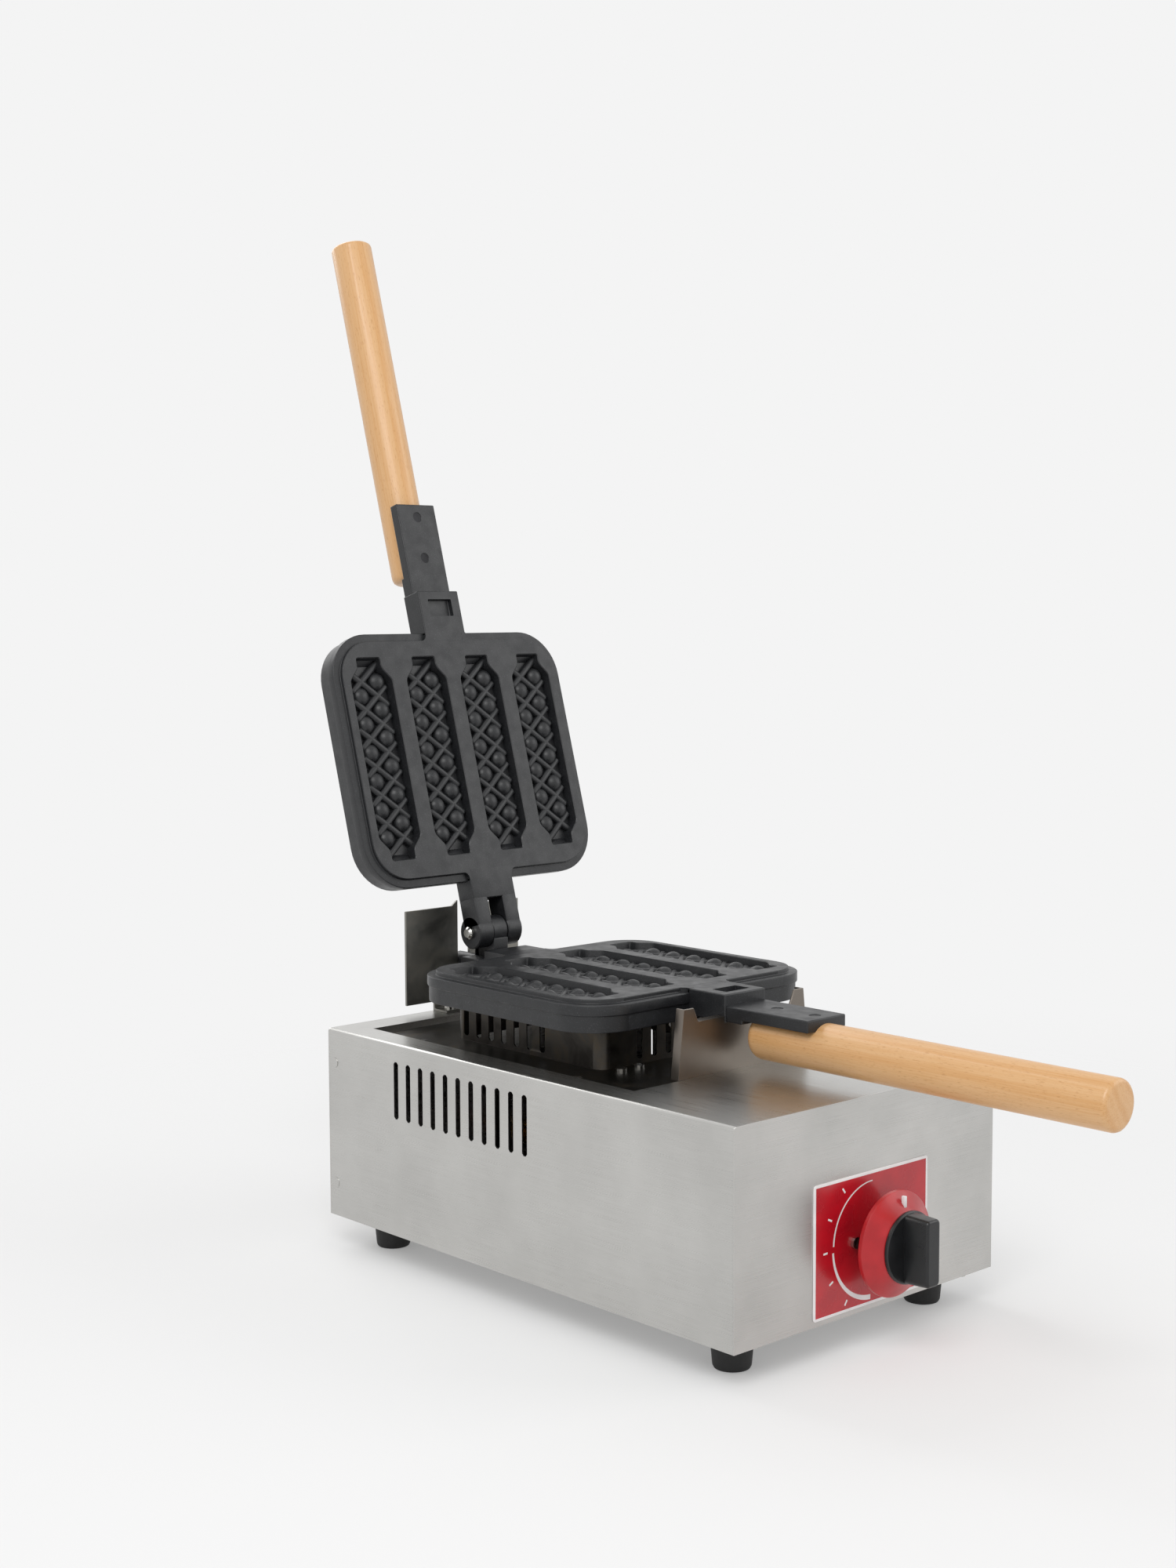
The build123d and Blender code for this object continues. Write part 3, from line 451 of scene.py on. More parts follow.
class Palette:
    """Every finish of the waffle maker, each made once."""

    pith: tuple[float, float] = (0.06, 0.045)

    def __init__(self, tilt: float, centre: tuple[float, float, float], wood_y: float, wood_z: float) -> None:
        """Makes all the materials.

        Args:
            tilt: Degrees that the upper iron is turned about the hinge.
            centre: The hinge point in metres.
            wood_y: Where the handles' axis starts, in metres.
            wood_z: The height of the lower handle's axis, in metres.
        """
        # Folded casing: bright satin sheet, brushed from front to rear.
        self.side = BrushedStainless(name="brushed_stainless_side", way=Way.ALONG).build()
        # End panels: the same sheet painted a shade lighter than the casing, as painted light, brushed
        # across.
        self.front = BrushedStainless(name="brushed_stainless_front_painted_lighter", way=Way.ACROSS, colour="c9c7c4").build()
        # Front rest: nearly plain sheet in a warm grey, much darker than the casing.
        self.rest = BrushedStainless(
            name="warm_grey_stainless_rest",
            way=Way.UPRIGHT,
            colour="827b73",
            shade="736c65",
            roughness=0.34,
            streak=0.04,
            scratch_depth=0.003,
        ).build()
        # Heat shield: brown-black and blotched.
        self.heated = HeatedSteel().build()
        # Rear rest: plain grey mill steel, further from the flame.
        self.rear_rest = HeatedSteel("dull_steel", colour="85847f", tint="74736f", straw="8f8c84").build()
        # Irons: charcoal skin that softens every edge.
        self.nonstick = NonStickCoating().build()
        # Handles: honey-coloured wood, whose grain follows each handle's own axis.
        self.beech = VarnishedBeech(centre=(self.pith[0], wood_y, wood_z + self.pith[1])).build()
        pith = (centre[0] + self.pith[0], centre[1] + self.pith[1], centre[2])
        self.beech_upper = VarnishedBeech(name="varnished_beech_upper", tilt=tilt, centre=pith).build()
        # Handle screws: blued heads, near black with a dull metal glint.
        self.oxide = Moulded("black_oxide_steel", "29292b", "202022", 0.42, metallic=0.7).build()
        # Feet and lead: matt soft black, a little dusty.
        self.rubber = Moulded("moulded_rubber", "141414", "1d1d1d", 0.62, skin_depth=0.15).build()
        # Dial field: deep signal red under a thin gloss.
        self.red_enamel = Moulded("red_enamel_plate", "c01423", "b01020", 0.26, coat=0.3).build()
        # Printed border, strokes and pointer: flat warm white.
        self.white_print = Moulded("white_print", "f0eeee", "e6e3e3", 0.4).build()
        # Knob skirt: red plastic with a moulded sheen.
        self.red_plastic = Moulded("red_abs_knob", "ba1720", "a9121b", 0.34, coat=0.15).build()
        # Grip: black plastic with a sharper sheen than the rubber.
        self.black_plastic = Moulded("black_abs", "101113", "17181a", 0.3).build()
        # Screws, pin and stem: small bright points.
        self.bright = Moulded("nickel_plated_steel", "c9c8c4", "b4b2ad", 0.2, metallic=1.0).build()
        # Valve, injector and hose tail: warm yellow metal.
        self.brass = Moulded("machined_brass", "c49a4a", "b08438", 0.28, metallic=1.0).build()
        # Gas pipes: reddish drawn metal, slightly tarnished.
        self.copper = Moulded("drawn_copper", "b8734a", "a0603c", 0.3, metallic=1.0).build()
        # Burner: rough, dark and dry.
        cast = {"skin_mm": 1.6, "skin_depth": 0.5, "metallic": 0.6}
        self.cast_iron = Moulded("cast_iron_burner", "37322e", "2b2826", 0.62, **cast).build()
        # Electrode: glassy off-white.
        self.ceramic = Moulded("glazed_ceramic", "ece8de", "e2dccf", 0.18, coat=0.4).build()


def outward(bm: Mesh) -> None:
    """Turns every face of a closed mesh outwards."""
    bmesh.ops.recalc_face_normals(bm, faces=bm.faces)


def turning(axis: str, degrees: float) -> Matrix:
    """Gives a turn about an axis through the origin."""
    return Matrix.Rotation(math.radians(degrees), 4, axis)


def row(count: int, pitch: float) -> list[float]:
    """Gives evenly spaced places in a row that is centred on 0."""
    return [(number - (count - 1) / 2) * pitch for number in range(count)]


def merge(target: Mesh, part: Mesh, move: Optional[Matrix] = None) -> None:
    """Adds one mesh to another and frees it.

    Args:
        target: The mesh that grows.
        part: The mesh that is added.
        move: A placement for the added mesh.
    """
    if move is not None:
        bmesh.ops.transform(part, matrix=move, verts=part.verts)
        if move.determinant() < 0:
            bmesh.ops.reverse_faces(part, faces=part.faces)
    held = bpy.data.meshes.new("held")
    part.to_mesh(held)
    part.free()
    target.from_mesh(held)
    bpy.data.meshes.remove(held)


def bevel_edges(
    bm: Mesh, width: float, steps: int, chosen: Callable[[bmesh.types.BMEdge], bool]
) -> None:
    """Rounds the chosen edges.

    Args:
        bm: The mesh.
        width: The size of the round.
        steps: Its segments.
        chosen: Tells which edges to round.
    """
    edges = [e for e in bm.edges if len(e.link_faces) == 2 and chosen(e)]
    bmesh.ops.bevel(
        bm,
        geom=edges,
        offset=width,
        offset_type="OFFSET",
        segments=steps,
        profile=0.5,
        affect="EDGES",
        material=-1,
        clamp_overlap=True,
    )


def round_corners(
    bm: Mesh, corners: list[bmesh.types.BMVert], radius: float, steps: int
) -> None:
    """Rounds corners of a flat outline.

    Args:
        bm: The mesh.
        corners: The corners to round.
        radius: Their radius.
        steps: Segments of a corner.
    """
    bmesh.ops.bevel(
        bm,
        geom=corners,
        offset=radius,
        offset_type="OFFSET",
        segments=steps,
        profile=0.5,
        affect="VERTICES",
        material=-1,
    )


def extrude_all(bm: Mesh, height: float) -> None:
    """Extrudes a flat outline along Z and turns its faces outwards.

    Args:
        bm: The mesh.
        height: How far, downwards if negative.
    """
    grown = bmesh.ops.extrude_face_region(bm, geom=bm.faces[:])
    moved = [v for v in grown["geom"] if isinstance(v, bmesh.types.BMVert)]
    bmesh.ops.translate(bm, vec=(0, 0, height), verts=moved)
    outward(bm)


def sharp(degrees: float) -> Callable[[bmesh.types.BMEdge], bool]:
    """Gives a test for edges whose faces meet at more than an angle."""
    return lambda edge: edge.calc_face_angle(0.0) > math.radians(degrees)


def slab(
    width: float, length: float, corner: float, low: float, high: float, edge: float = 0.0, steps: int = 8
) -> Mesh:
    """Makes a flat slab with round corners.

    Args:
        width: Its size along X.
        length: Its size along Y.
        corner: The radius of its corners seen from above, or 0.
        low: Its underside.
        high: Its top.
        edge: The round of its rims.
        steps: Segments of a corner.

    Returns:
        The slab, centred on the Z axis.
    """
    bm = bmesh.new()
    bmesh.ops.create_grid(bm, x_segments=1, y_segments=1, size=0.5)
    bmesh.ops.scale(bm, vec=(width, length, 1), verts=bm.verts)
    if corner:
        round_corners(bm, bm.verts[:], corner, steps)
    bmesh.ops.translate(bm, vec=(0, 0, low), verts=bm.verts)
    extrude_all(bm, high - low)
    if edge:
        bevel_edges(bm, edge, 3, sharp(60))
    return bm


def bar(low: Iterable[float], high: Iterable[float], edge: float = 0.0, steps: int = 3) -> Mesh:
    """Makes a straight block between two corners, with every edge rounded.

    Args:
        low: Its lowest corner.
        high: Its highest corner.
        edge: The round of its edges.
        steps: Segments of a round.

    Returns:
        The block.
    """
    low, high = Vector(low), Vector(high)
    bm = bmesh.new()
    bmesh.ops.create_cube(bm, size=1.0)
    bmesh.ops.scale(bm, vec=high - low, verts=bm.verts)
    bmesh.ops.translate(bm, vec=(low + high) / 2, verts=bm.verts)
    if edge:
        bevel_edges(bm, edge, steps, sharp(60))
    return bm


def turned(profile: Iterable[tuple[float, float]], steps: int = 48) -> Mesh:
    """Turns an outline round the Z axis.

    Args:
        profile: Points as (radius, height). The turned shape closes where the radius is 0.
        steps: Segments of the full turn.

    Returns:
        The turned mesh.
    """
    bm = bmesh.new()
    verts = [bm.verts.new((radius, 0, height)) for radius, height in profile]
    edges = [bm.edges.new(pair) for pair in zip(verts, verts[1:])]
    bmesh.ops.spin(
        bm,
        geom=verts + edges,
        axis=(0, 0, 1),
        cent=(0, 0, 0),
        steps=steps,
        angle=2 * math.pi,
        use_merge=True,
    )
    bmesh.ops.remove_doubles(bm, verts=bm.verts, dist=1e-4)
    outward(bm)
    return bm


def dome(radius: float, height: float, floor: float, x: float, y: float) -> Mesh:
    """Makes a rounded stud that stands on a cavity's floor.

    Args:
        radius: Its radius at the foot.
        height: Its height above the floor.
        floor: The floor's height.
        x: Its place along X.
        y: Its place along Y.

    Returns:
        The stud.
    """
    bm = bmesh.new()
    bmesh.ops.create_uvsphere(bm, u_segments=20, v_segments=12, radius=1.0)
    bmesh.ops.bisect_plane(
        bm,
        geom=bm.verts[:] + bm.edges[:] + bm.faces[:],
        plane_co=(0, 0, -0.12),
        plane_no=(0, 0, -1),
        clear_outer=True,
    )
    bmesh.ops.holes_fill(bm, edges=[e for e in bm.edges if e.is_boundary], sides=0)
    bmesh.ops.scale(bm, vec=(radius, radius, height), verts=bm.verts)
    bmesh.ops.translate(bm, vec=(x, y, floor), verts=bm.verts)
    return bm


def place(
    name: str,
    bm: Mesh,
    body: str,
    materials: list[bpy.types.Material],
    replaces: Iterable[str] = (),
    slot: Optional[str] = None,
    smooth: float = 32.0,
    scale: float = MM,
) -> bpy.types.Object:
    """Turns a mesh into a piece of the model.

    Args:
        name: The piece's name.
        bm: Its mesh, in millimetres.
        body: The CAD body that it rides on.
        materials: Its materials, in the order of the faces' numbers.
        replaces: CAD nodes that it stands for.
        slot: The record's material slot.
        smooth: Edges that turn by more degrees than this stay sharp.
        scale: Metres per unit.

    Returns:
        The object.
    """
    bmesh.ops.scale(bm, vec=(scale,) * 3, verts=bm.verts)
    for edge in bm.edges:
        edge.smooth = edge.calc_face_angle(math.pi) < math.radians(smooth)
    # Large many-sided faces stay flat: smooth ones shade in triangles beside their rounded edges.
    for face in bm.faces:
        face.smooth = len(face.verts) <= 4
    mesh = bpy.data.meshes.new(name)
    bm.to_mesh(mesh)
    bm.free()
    for material in materials:
        mesh.materials.append(material)
    piece = bpy.data.objects.new(name, mesh)
    bpy.context.scene.collection.objects.link(piece)
    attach(piece, body)
    nodes = list(replaces)
    if nodes:
        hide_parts(*nodes)
    log.info("%s rides on %s with %d faces", name, body, len(mesh.polygons))
    return piece


def combine(base: Mesh, tool: Mesh, how: Cut) -> Mesh:
    """Joins two solids or takes one from the other.

    Args:
        base: The first solid, which is freed.
        tool: The second solid, which is freed.
        how: What to do.

    Returns:
        The new solid.
    """
    objects = []
    for label, bm in (("base", base), ("tool", tool)):
        mesh = bpy.data.meshes.new(label)
        bm.to_mesh(mesh)
        bm.free()
        held = bpy.data.objects.new(label, mesh)
        bpy.context.scene.collection.objects.link(held)
        objects.append(held)
    modifier = objects[0].modifiers.new("combine", "BOOLEAN")
    modifier.operation = how.value
    modifier.solver = "EXACT"
    modifier.object = objects[1]
    bpy.context.view_layer.update()
    result = bpy.data.meshes.new_from_object(
        objects[0].evaluated_get(bpy.context.evaluated_depsgraph_get())
    )
    made = bmesh.new()
    made.from_mesh(result)
    bpy.data.meshes.remove(result)
    for held in objects:
        mesh = held.data
        bpy.data.objects.remove(held)
        bpy.data.meshes.remove(mesh)
    bmesh.ops.remove_doubles(made, verts=made.verts, dist=1e-4)
    bmesh.ops.dissolve_degenerate(made, dist=1e-3, edges=made.edges)
    return made


def about(point: Vector, degrees: float) -> Matrix:
    """Gives a turn about the X direction through a point."""
    return Matrix.Translation(point) @ turning("X", degrees) @ Matrix.Translation(-point)


@dataclass
class Irons:
    """The two hinged mould irons, with their wooden handles."""

    plate_width: float = 214.0
    plate_length: float = 188.0
    plate_corner: float = 34.0
    thickness: float = 21.0
    pad_inset: float = 6.0
    pad_height: float = 3.0
    side_step: float = 1.2
    back_rim: float = 7.0
    back_recess: float = 4.0
    cavity_count: int = 4
    cavity_pitch: float = 50.5
    cavity_width: float = 37.0
    cavity_length: float = 149.0
    cavity_shift: float = -1.0
    cavity_depth: float = 8.2
    notch_width: float = 21.0
    notch_length: float = 8.0
    shoulder: float = 9.0
    bead_count: int = 6
    bead_pitch: float = 21.0
    bead_offset: float = 8.2
    bead_radius: float = 7.2
    bead_height: float = 6.6
    ridge_half: float = 2.6
    ridge_reach: float = 20.5
    ridge_height: float = 4.4
    ridge_lean: float = 51.0
    neck_length: float = 102.0
    neck_width: float = 36.0
    neck_drop: float = 7.5
    neck_thickness: float = 8.0
    root_width: float = 38.0
    root_length: float = 32.0
    handle_radius: float = 15.5
    handle_length: float = 270.0
    handle_overlap: float = 56.0
    handle_sink: float = 4.4
    face_gap: float = 0.4
    plate_y: float = 33.0
    face_z: float = 208.0
    hinge: Vector = field(default_factory=lambda: Vector((0.0, 164.0, 219.5)))
    open_angle: float = 106.0
    arm_width: float = 40.0
    ear_radius: float = 12.0
    lug_radius: float = 11.0
    lug_width: float = 13.4
    tail_end: float = 203.0
    tail_radius: float = 5.0
    lip: float = 0.6
    mouth_corner: float = 2.2
    wall_draft: float = 1.5
    ridge_root: float = 2.0
    ramp_low: tuple[float, float, float] = (-8.6, -6.0, -7.0)
    ramp_high: tuple[float, float, float] = (8.6, 8.0, 0.0)
    ramp_lean: float = 38.0
    ramp_inset: float = 1.0
    ramp_rise: float = 3.0
    flange_depth: float = 10.0
    flange_round: float = 1.1
    rib_half: float = 2.5
    rib_root: float = 5.0
    rib_sink: float = 0.4
    heel_depth: float = 2.5
    pocket_half: float = 11.0
    pocket_reach: float = 6.5
    pocket_depth: float = 4.2
    pocket_setback: float = 3.0
    screw_radius: float = 2.0
    head_radius: float = 4.0
    web_reach: float = 20.0
    bore: float = 4.05
    eye_rim: float = 0.8
    arm_height: float = 17.5
    fork_reach: float = 23.0
    fork_gap: float = 0.3
    nose_span: tuple[float, float] = (6.7, 12.7)
    nose_top: float = 28.0
    nose_foot_span: tuple[float, float] = (6.0, 12.0)

    def swing(self) -> Matrix:
        """Gives the turn from the shut to the open iron."""
        return about(self.hinge, -self.open_angle)

    def flip(self) -> Matrix:
        """Gives the mirror about the parting plane."""
        level = self.face_z + self.face_gap / 2
        return Matrix.Translation((0, 0, 2 * level)) @ Matrix.Scale(-1, 4, (0, 0, 1))

    def cavity_tool(self) -> Mesh:
        """Makes the solid that cuts one cavity, with a small lip at its mouth.

        Returns:
            The cutter, from just above the face down to the floor.
        """
        lip = self.lip
        half = self.cavity_width / 2 + lip
        notch = self.notch_width / 2 + lip
        end = self.cavity_length / 2 + lip
        shoulder = end - self.notch_length
        side = shoulder - self.shoulder
        quarter = [(notch, end), (notch, shoulder), (half, side)]
        right = quarter + [(x, -y) for x, y in reversed(quarter)]
        outline = right + [(-x, y) for x, y in reversed(right)]
        bm = bmesh.new()
        bm.faces.new([bm.verts.new((x, y, 1.0)) for x, y in outline])
        round_corners(bm, bm.verts[:], self.mouth_corner, 3)
        outward(bm)
        extrude_all(bm, -1.0)
        floor = min(bm.faces, key=lambda face: face.calc_center_median().z)
        for thickness, depth in ((lip, lip), (self.wall_draft, self.cavity_depth - lip)):
            bmesh.ops.inset_region(bm, faces=[floor], thickness=thickness, depth=0.0, use_even_offset=True)
            bmesh.ops.translate(bm, vec=(0, 0, -depth), verts=floor.verts)
        outward(bm)
        return bm

    def cavity_relief(self) -> Mesh:
        """Makes what stands on one cavity's floor: two staggered rows of studs, a lattice and end ramps.

        Returns:
            The raised pieces.
        """
        bm = bmesh.new()
        floor = -self.cavity_depth
        quarter = self.bead_pitch / 4
        for y in row(self.bead_count, self.bead_pitch):
            for side in (-1, 1):
                x = side * self.bead_offset
                merge(bm, dome(self.bead_radius, self.bead_height, floor, x, y - side * quarter))
        for lean, count in ((-self.ridge_lean, self.bead_count), (self.ridge_lean, self.bead_count + 1)):
            for y in row(count, self.bead_pitch):
                half, reach = self.ridge_half, self.ridge_reach
                low = (-half, -reach, -self.ridge_root)
                ridge = bar(low, (half, reach, self.ridge_height), half * 0.9, 4)
                merge(bm, ridge, Matrix.Translation((0, y, floor)) @ turning("Z", lean))
        for end in (-1, 1):
            ramp = bar(self.ramp_low, self.ramp_high, 0.6)
            tilt = turning("X", end * self.ramp_lean)
            spot = (0, end * (self.cavity_length / 2 - self.ramp_inset), floor + self.ramp_rise)
            merge(bm, ramp, Matrix.Translation(spot) @ tilt)
        return bm

    def plate_body(self) -> Mesh:
        """Makes the plain plate: flange, stepped side, raised pad and recessed back.

        Returns:
            The plate with its face at height 0.
        """
        size = (self.plate_width, self.plate_length, self.plate_corner)
        bm = slab(*size, -self.flange_depth, -self.pad_height, 0.0, 12)
        top = max(bm.faces, key=lambda face: face.calc_center_median().z)
        under = min(bm.faces, key=lambda face: face.calc_center_median().z)
        for face, inset, depth in (
            (top, self.pad_inset, self.pad_height),
            (under, self.side_step, self.thickness - self.flange_depth),
            (under, self.back_rim - self.side_step, -self.back_recess),
        ):
            bmesh.ops.inset_region(bm, faces=[face], thickness=inset, use_even_offset=True)
            bmesh.ops.inset_individual(bm, faces=[face], thickness=0.0, depth=depth)
        outward(bm)
        return bm

    def iron(self, upper: bool) -> Mesh:
        """Makes one whole cast iron, shut, in the frame of the model.

        Args:
            upper: True for the forked upper one.

        Returns:
            The casting.
        """
        body = self.plate_body()
        bevel_edges(body, self.flange_round, 3, sharp(50))
        body = combine(body, self.neck(), Cut.ADD)
        tools = bmesh.new()
        places = []
        for x in row(self.cavity_count, self.cavity_pitch):
            places.append(Matrix.Translation((x, self.cavity_shift, 0)))
            merge(tools, self.cavity_tool(), places[-1])
        body = combine(body, tools, Cut.TAKE_AWAY)
        for spot in places:
            merge(body, self.cavity_relief(), spot)
        reach = self.plate_length / 2 - self.back_rim
        low, high = self.rib_sink - self.thickness, self.rib_root - self.thickness
        for x in row(self.cavity_count - 1, self.cavity_pitch):
            merge(body, bar((x - self.rib_half, -reach, low), (x + self.rib_half, reach, high), 0.8))
        merge(body, self.root_webs(self.arm_width / 2, 1))
        merge(body, self.root_webs(self.root_width / 2, -1))
        spot = Matrix.Translation((0, self.plate_y, self.face_z))
        made = bmesh.new()
        merge(made, body, self.flip() @ spot if upper else spot)
        merge(made, self.upper_arm() if upper else self.lower_arm())
        return made

    def neck(self) -> Mesh:
        """Makes the neck in front of the plate, with its pocket and two screw holes.

        Returns:
            The neck, with the mould face at height 0.
        """
        edge = -self.plate_length / 2
        step = edge - self.root_length
        tip = edge - self.neck_length
        top = -self.neck_drop
        under = top - self.neck_thickness
        floor = under - self.heel_depth
        seat = tip + self.handle_overlap
        root, half = self.root_width / 2, self.neck_width / 2
        whole = bar((-root, step, floor), (root, edge + 11, -0.06), 0.9)
        whole = combine(whole, bar((-half, tip, under), (half, step + 6, top), 0.9), Cut.ADD)
        whole = combine(whole, bar((-half, seat, floor), (half, step + 5, top - 2), 0.9), Cut.ADD)
        pocket_y = edge - self.root_length / 2 - self.pocket_setback
        wide, long = self.pocket_half, self.pocket_reach
        low = (-wide, pocket_y - long, -self.pocket_depth)
        whole = combine(whole, bar(low, (wide, pocket_y + long, 3), 0.8), Cut.TAKE_AWAY)
        shank, head = self.screw_radius, self.head_radius
        for y in (tip + 10.0, tip + self.handle_overlap - 14.0):
            profile = [(0, -24), (shank, -24), (shank, -9.8), (head, -7.6), (head, -6), (0, -6)]
            hole = turned(profile, 24)
            bmesh.ops.translate(hole, vec=(0, y, 0), verts=hole.verts)
            whole = combine(whole, hole, Cut.TAKE_AWAY)
        merge(whole, bar((-7, pocket_y - 1.5, -5.0), (7, pocket_y + 1.5, -2.4), 0.6))
        return whole

    def root_webs(self, arm_half: float, end: int) -> Mesh:
        """Makes the two hollow-curved webs that run from the pad into an arm.

        Args:
            arm_half: Half the arm's width.
            end: 1 at the hinge, -1 at the neck.

        Returns:
            Both webs, with the mould face at height 0.
        """
        plate_edge = self.plate_length / 2
        pad_edge = plate_edge - self.pad_inset
        out = arm_half + self.web_reach
        outline = [
            (arm_half - 4, pad_edge - 2),
            (out, pad_edge - 2),
            (out, pad_edge - 0.6),
            (arm_half, pad_edge - 0.6),
            (arm_half, plate_edge - 0.4),
            (arm_half - 4, plate_edge - 0.4),
        ]
        both = bmesh.new()
        for side in (-1, 1):
            bm = bmesh.new()
            verts = [bm.verts.new((side * x, end * y, -self.pad_height - 0.4)) for x, y in outline]
            bm.faces.new(verts)
            round_corners(bm, [verts[3]], self.pad_inset - 1.0, 6)
            extrude_all(bm, self.pad_height + 0.42)
            merge(both, bm)
        return both

    def lower_arm(self) -> Mesh:
        """Makes the arm behind the lower plate, with the middle lug and the tail pin.

        Returns:
            The arm, in the frame of the model.
        """
        low = self.face_z - self.thickness + 2.0
        drop = self.face_z - self.neck_drop
        rear = self.plate_y + self.plate_length / 2
        half = self.arm_width / 2
        back = self.hinge.y + self.ear_radius
        near = self.hinge.y - self.ear_radius - 3
        bm = bar((-half, rear - 9, low), (half, near, self.face_z + 0.03), 1.0)
        merge(bm, bar((-half, rear, low), (half, back, drop), 1.0))
        merge(bm, self.eye(self.lug_radius, self.lug_width / 2, self.hinge.z - drop + 2))
        merge(bm, self.nose(drop))
        tail_z = (low + drop) / 2
        reach = self.tail_end - back
        r = self.tail_radius
        tail = turned([(0, 0), (r, 0), (r, reach - 1.0), (r - 1.0, reach + 0.5), (0, reach + 0.5)], 32)
        merge(bm, tail, Matrix.Translation((0, back - 0.5, tail_z)) @ turning("X", -90))
        return bm

    def nose(self, foot: float) -> Mesh:
        """Makes the nose behind the lug that stops the open fork.

        Args:
            foot: The height of the arm's top under it.

        Returns:
            The nose.
        """
        half = self.lug_width / 2
        near, far = self.nose_span
        bm = bar((-half, near, -1.0), (half, far, self.nose_top), 0.9)
        lean = turning("X", 90 - self.open_angle)
        bmesh.ops.transform(bm, matrix=Matrix.Translation(self.hinge) @ lean, verts=bm.verts)
        near, far = (self.hinge.y + y for y in self.nose_foot_span)
        merge(bm, bar((-half, near, foot - 1), (half, far, self.hinge.z + 1), 0.9))
        return bm

    def eye(self, radius: float, half: float, foot: float) -> Mesh:
        """Makes a rounded hinge lug about the pin.

        Args:
            radius: The round's radius.
            half: Half its width along X.
            foot: How far its web runs down from the pin.

        Returns:
            The lug.
        """
        rim, bore = self.eye_rim, self.bore
        profile = [(bore, -half), (radius - rim, -half), (radius, -half + rim)]
        profile += [(radius, half - rim), (radius - rim, half), (bore, half), (bore, -half)]
        bm = turned(profile, 48)
        bmesh.ops.transform(bm, matrix=turning("Y", 90), verts=bm.verts)
        bmesh.ops.translate(bm, vec=self.hinge, verts=bm.verts)
        if foot:
            low = (-half, self.hinge.y - radius, self.hinge.z - foot)
            high = (half, self.hinge.y + radius, self.hinge.z - 4.2)
            merge(bm, bar(low, high, rim))
        return bm

    def upper_arm(self) -> Mesh:
        """Makes the forked arm behind the upper plate.

        Returns:
            The arm as it stands when shut, in the frame of the model.
        """
        floor = self.face_z + self.face_gap
        rear = self.plate_y + self.plate_length / 2
        half = self.arm_width / 2
        inner = self.lug_width / 2 + self.fork_gap
        top = floor + self.arm_height
        root = self.hinge.y - self.fork_reach
        bm = bar((-half, rear - 9, floor - 0.03), (half, root, top), 1.0)
        for side in (-1, 1):
            near, far = sorted((side * inner, side * half))
            merge(bm, bar((near, root - 2.0, floor), (far, self.hinge.y - 3, top), 1.0))
            ear = self.eye(self.ear_radius, (half - inner) / 2, 0.0)
            merge(bm, ear, Matrix.Translation((side * (half + inner) / 2, 0, 0)))
        return bm

    def handle(self) -> Mesh:
        """Makes the turned handle of the lower iron, with its flat seat.

        Returns:
            The handle.
        """
        r = self.handle_radius
        end = self.handle_length
        neck_end = self.plate_y - self.plate_length / 2 - self.neck_length
        seat_z = self.face_z - self.neck_drop - self.neck_thickness
        start = neck_end + self.handle_overlap
        profile = [(0, 0), (r - 4.8, 0), (r - 3.0, 0.5), (r - 1.2, 1.9), (r - 0.3, 3.8), (r, 6.0)]
        profile += [(r, end - 2.6), (r - 0.5, end - 1.2), (r - 1.6, end - 0.3), (r - 3.0, end), (0, end)]
        bm = turned(profile, 64)
        spot = Matrix.Translation((0, start, seat_z + self.handle_sink - r)) @ turning("X", 90)
        bmesh.ops.transform(bm, matrix=spot, verts=bm.verts)
        seat = bar((-r - 4, neck_end, seat_z), (r + 4, start + 5, seat_z + 20))
        return combine(bm, seat, Cut.TAKE_AWAY)

    def build(self, palette: Palette) -> None:
        """Builds both irons and their handles.

        Args:
            palette: The finishes.
        """
        coat, swing = palette.nonstick, self.swing()
        for name, bm, move, body, finish, node, slot in (
            ("mould_iron_lower", self.iron(False), None, "lower_iron", coat, "lower_plate", "nonstick"),
            ("mould_iron_upper", self.iron(True), swing, "upper_iron", coat, "upper_plate", "nonstick"),
            ("handle_lower", self.handle(), None, "lower_iron", palette.beech, "lower_handle", "beech"),
            (
                "handle_upper",
                self.handle(),
                swing @ self.flip(),
                "upper_iron",
                palette.beech_upper,
                "upper_handle",
                "beech",
            ),
        ):
            made = bmesh.new()
            merge(made, bm, move)
            place(name, made, body, [finish], [node], slot)


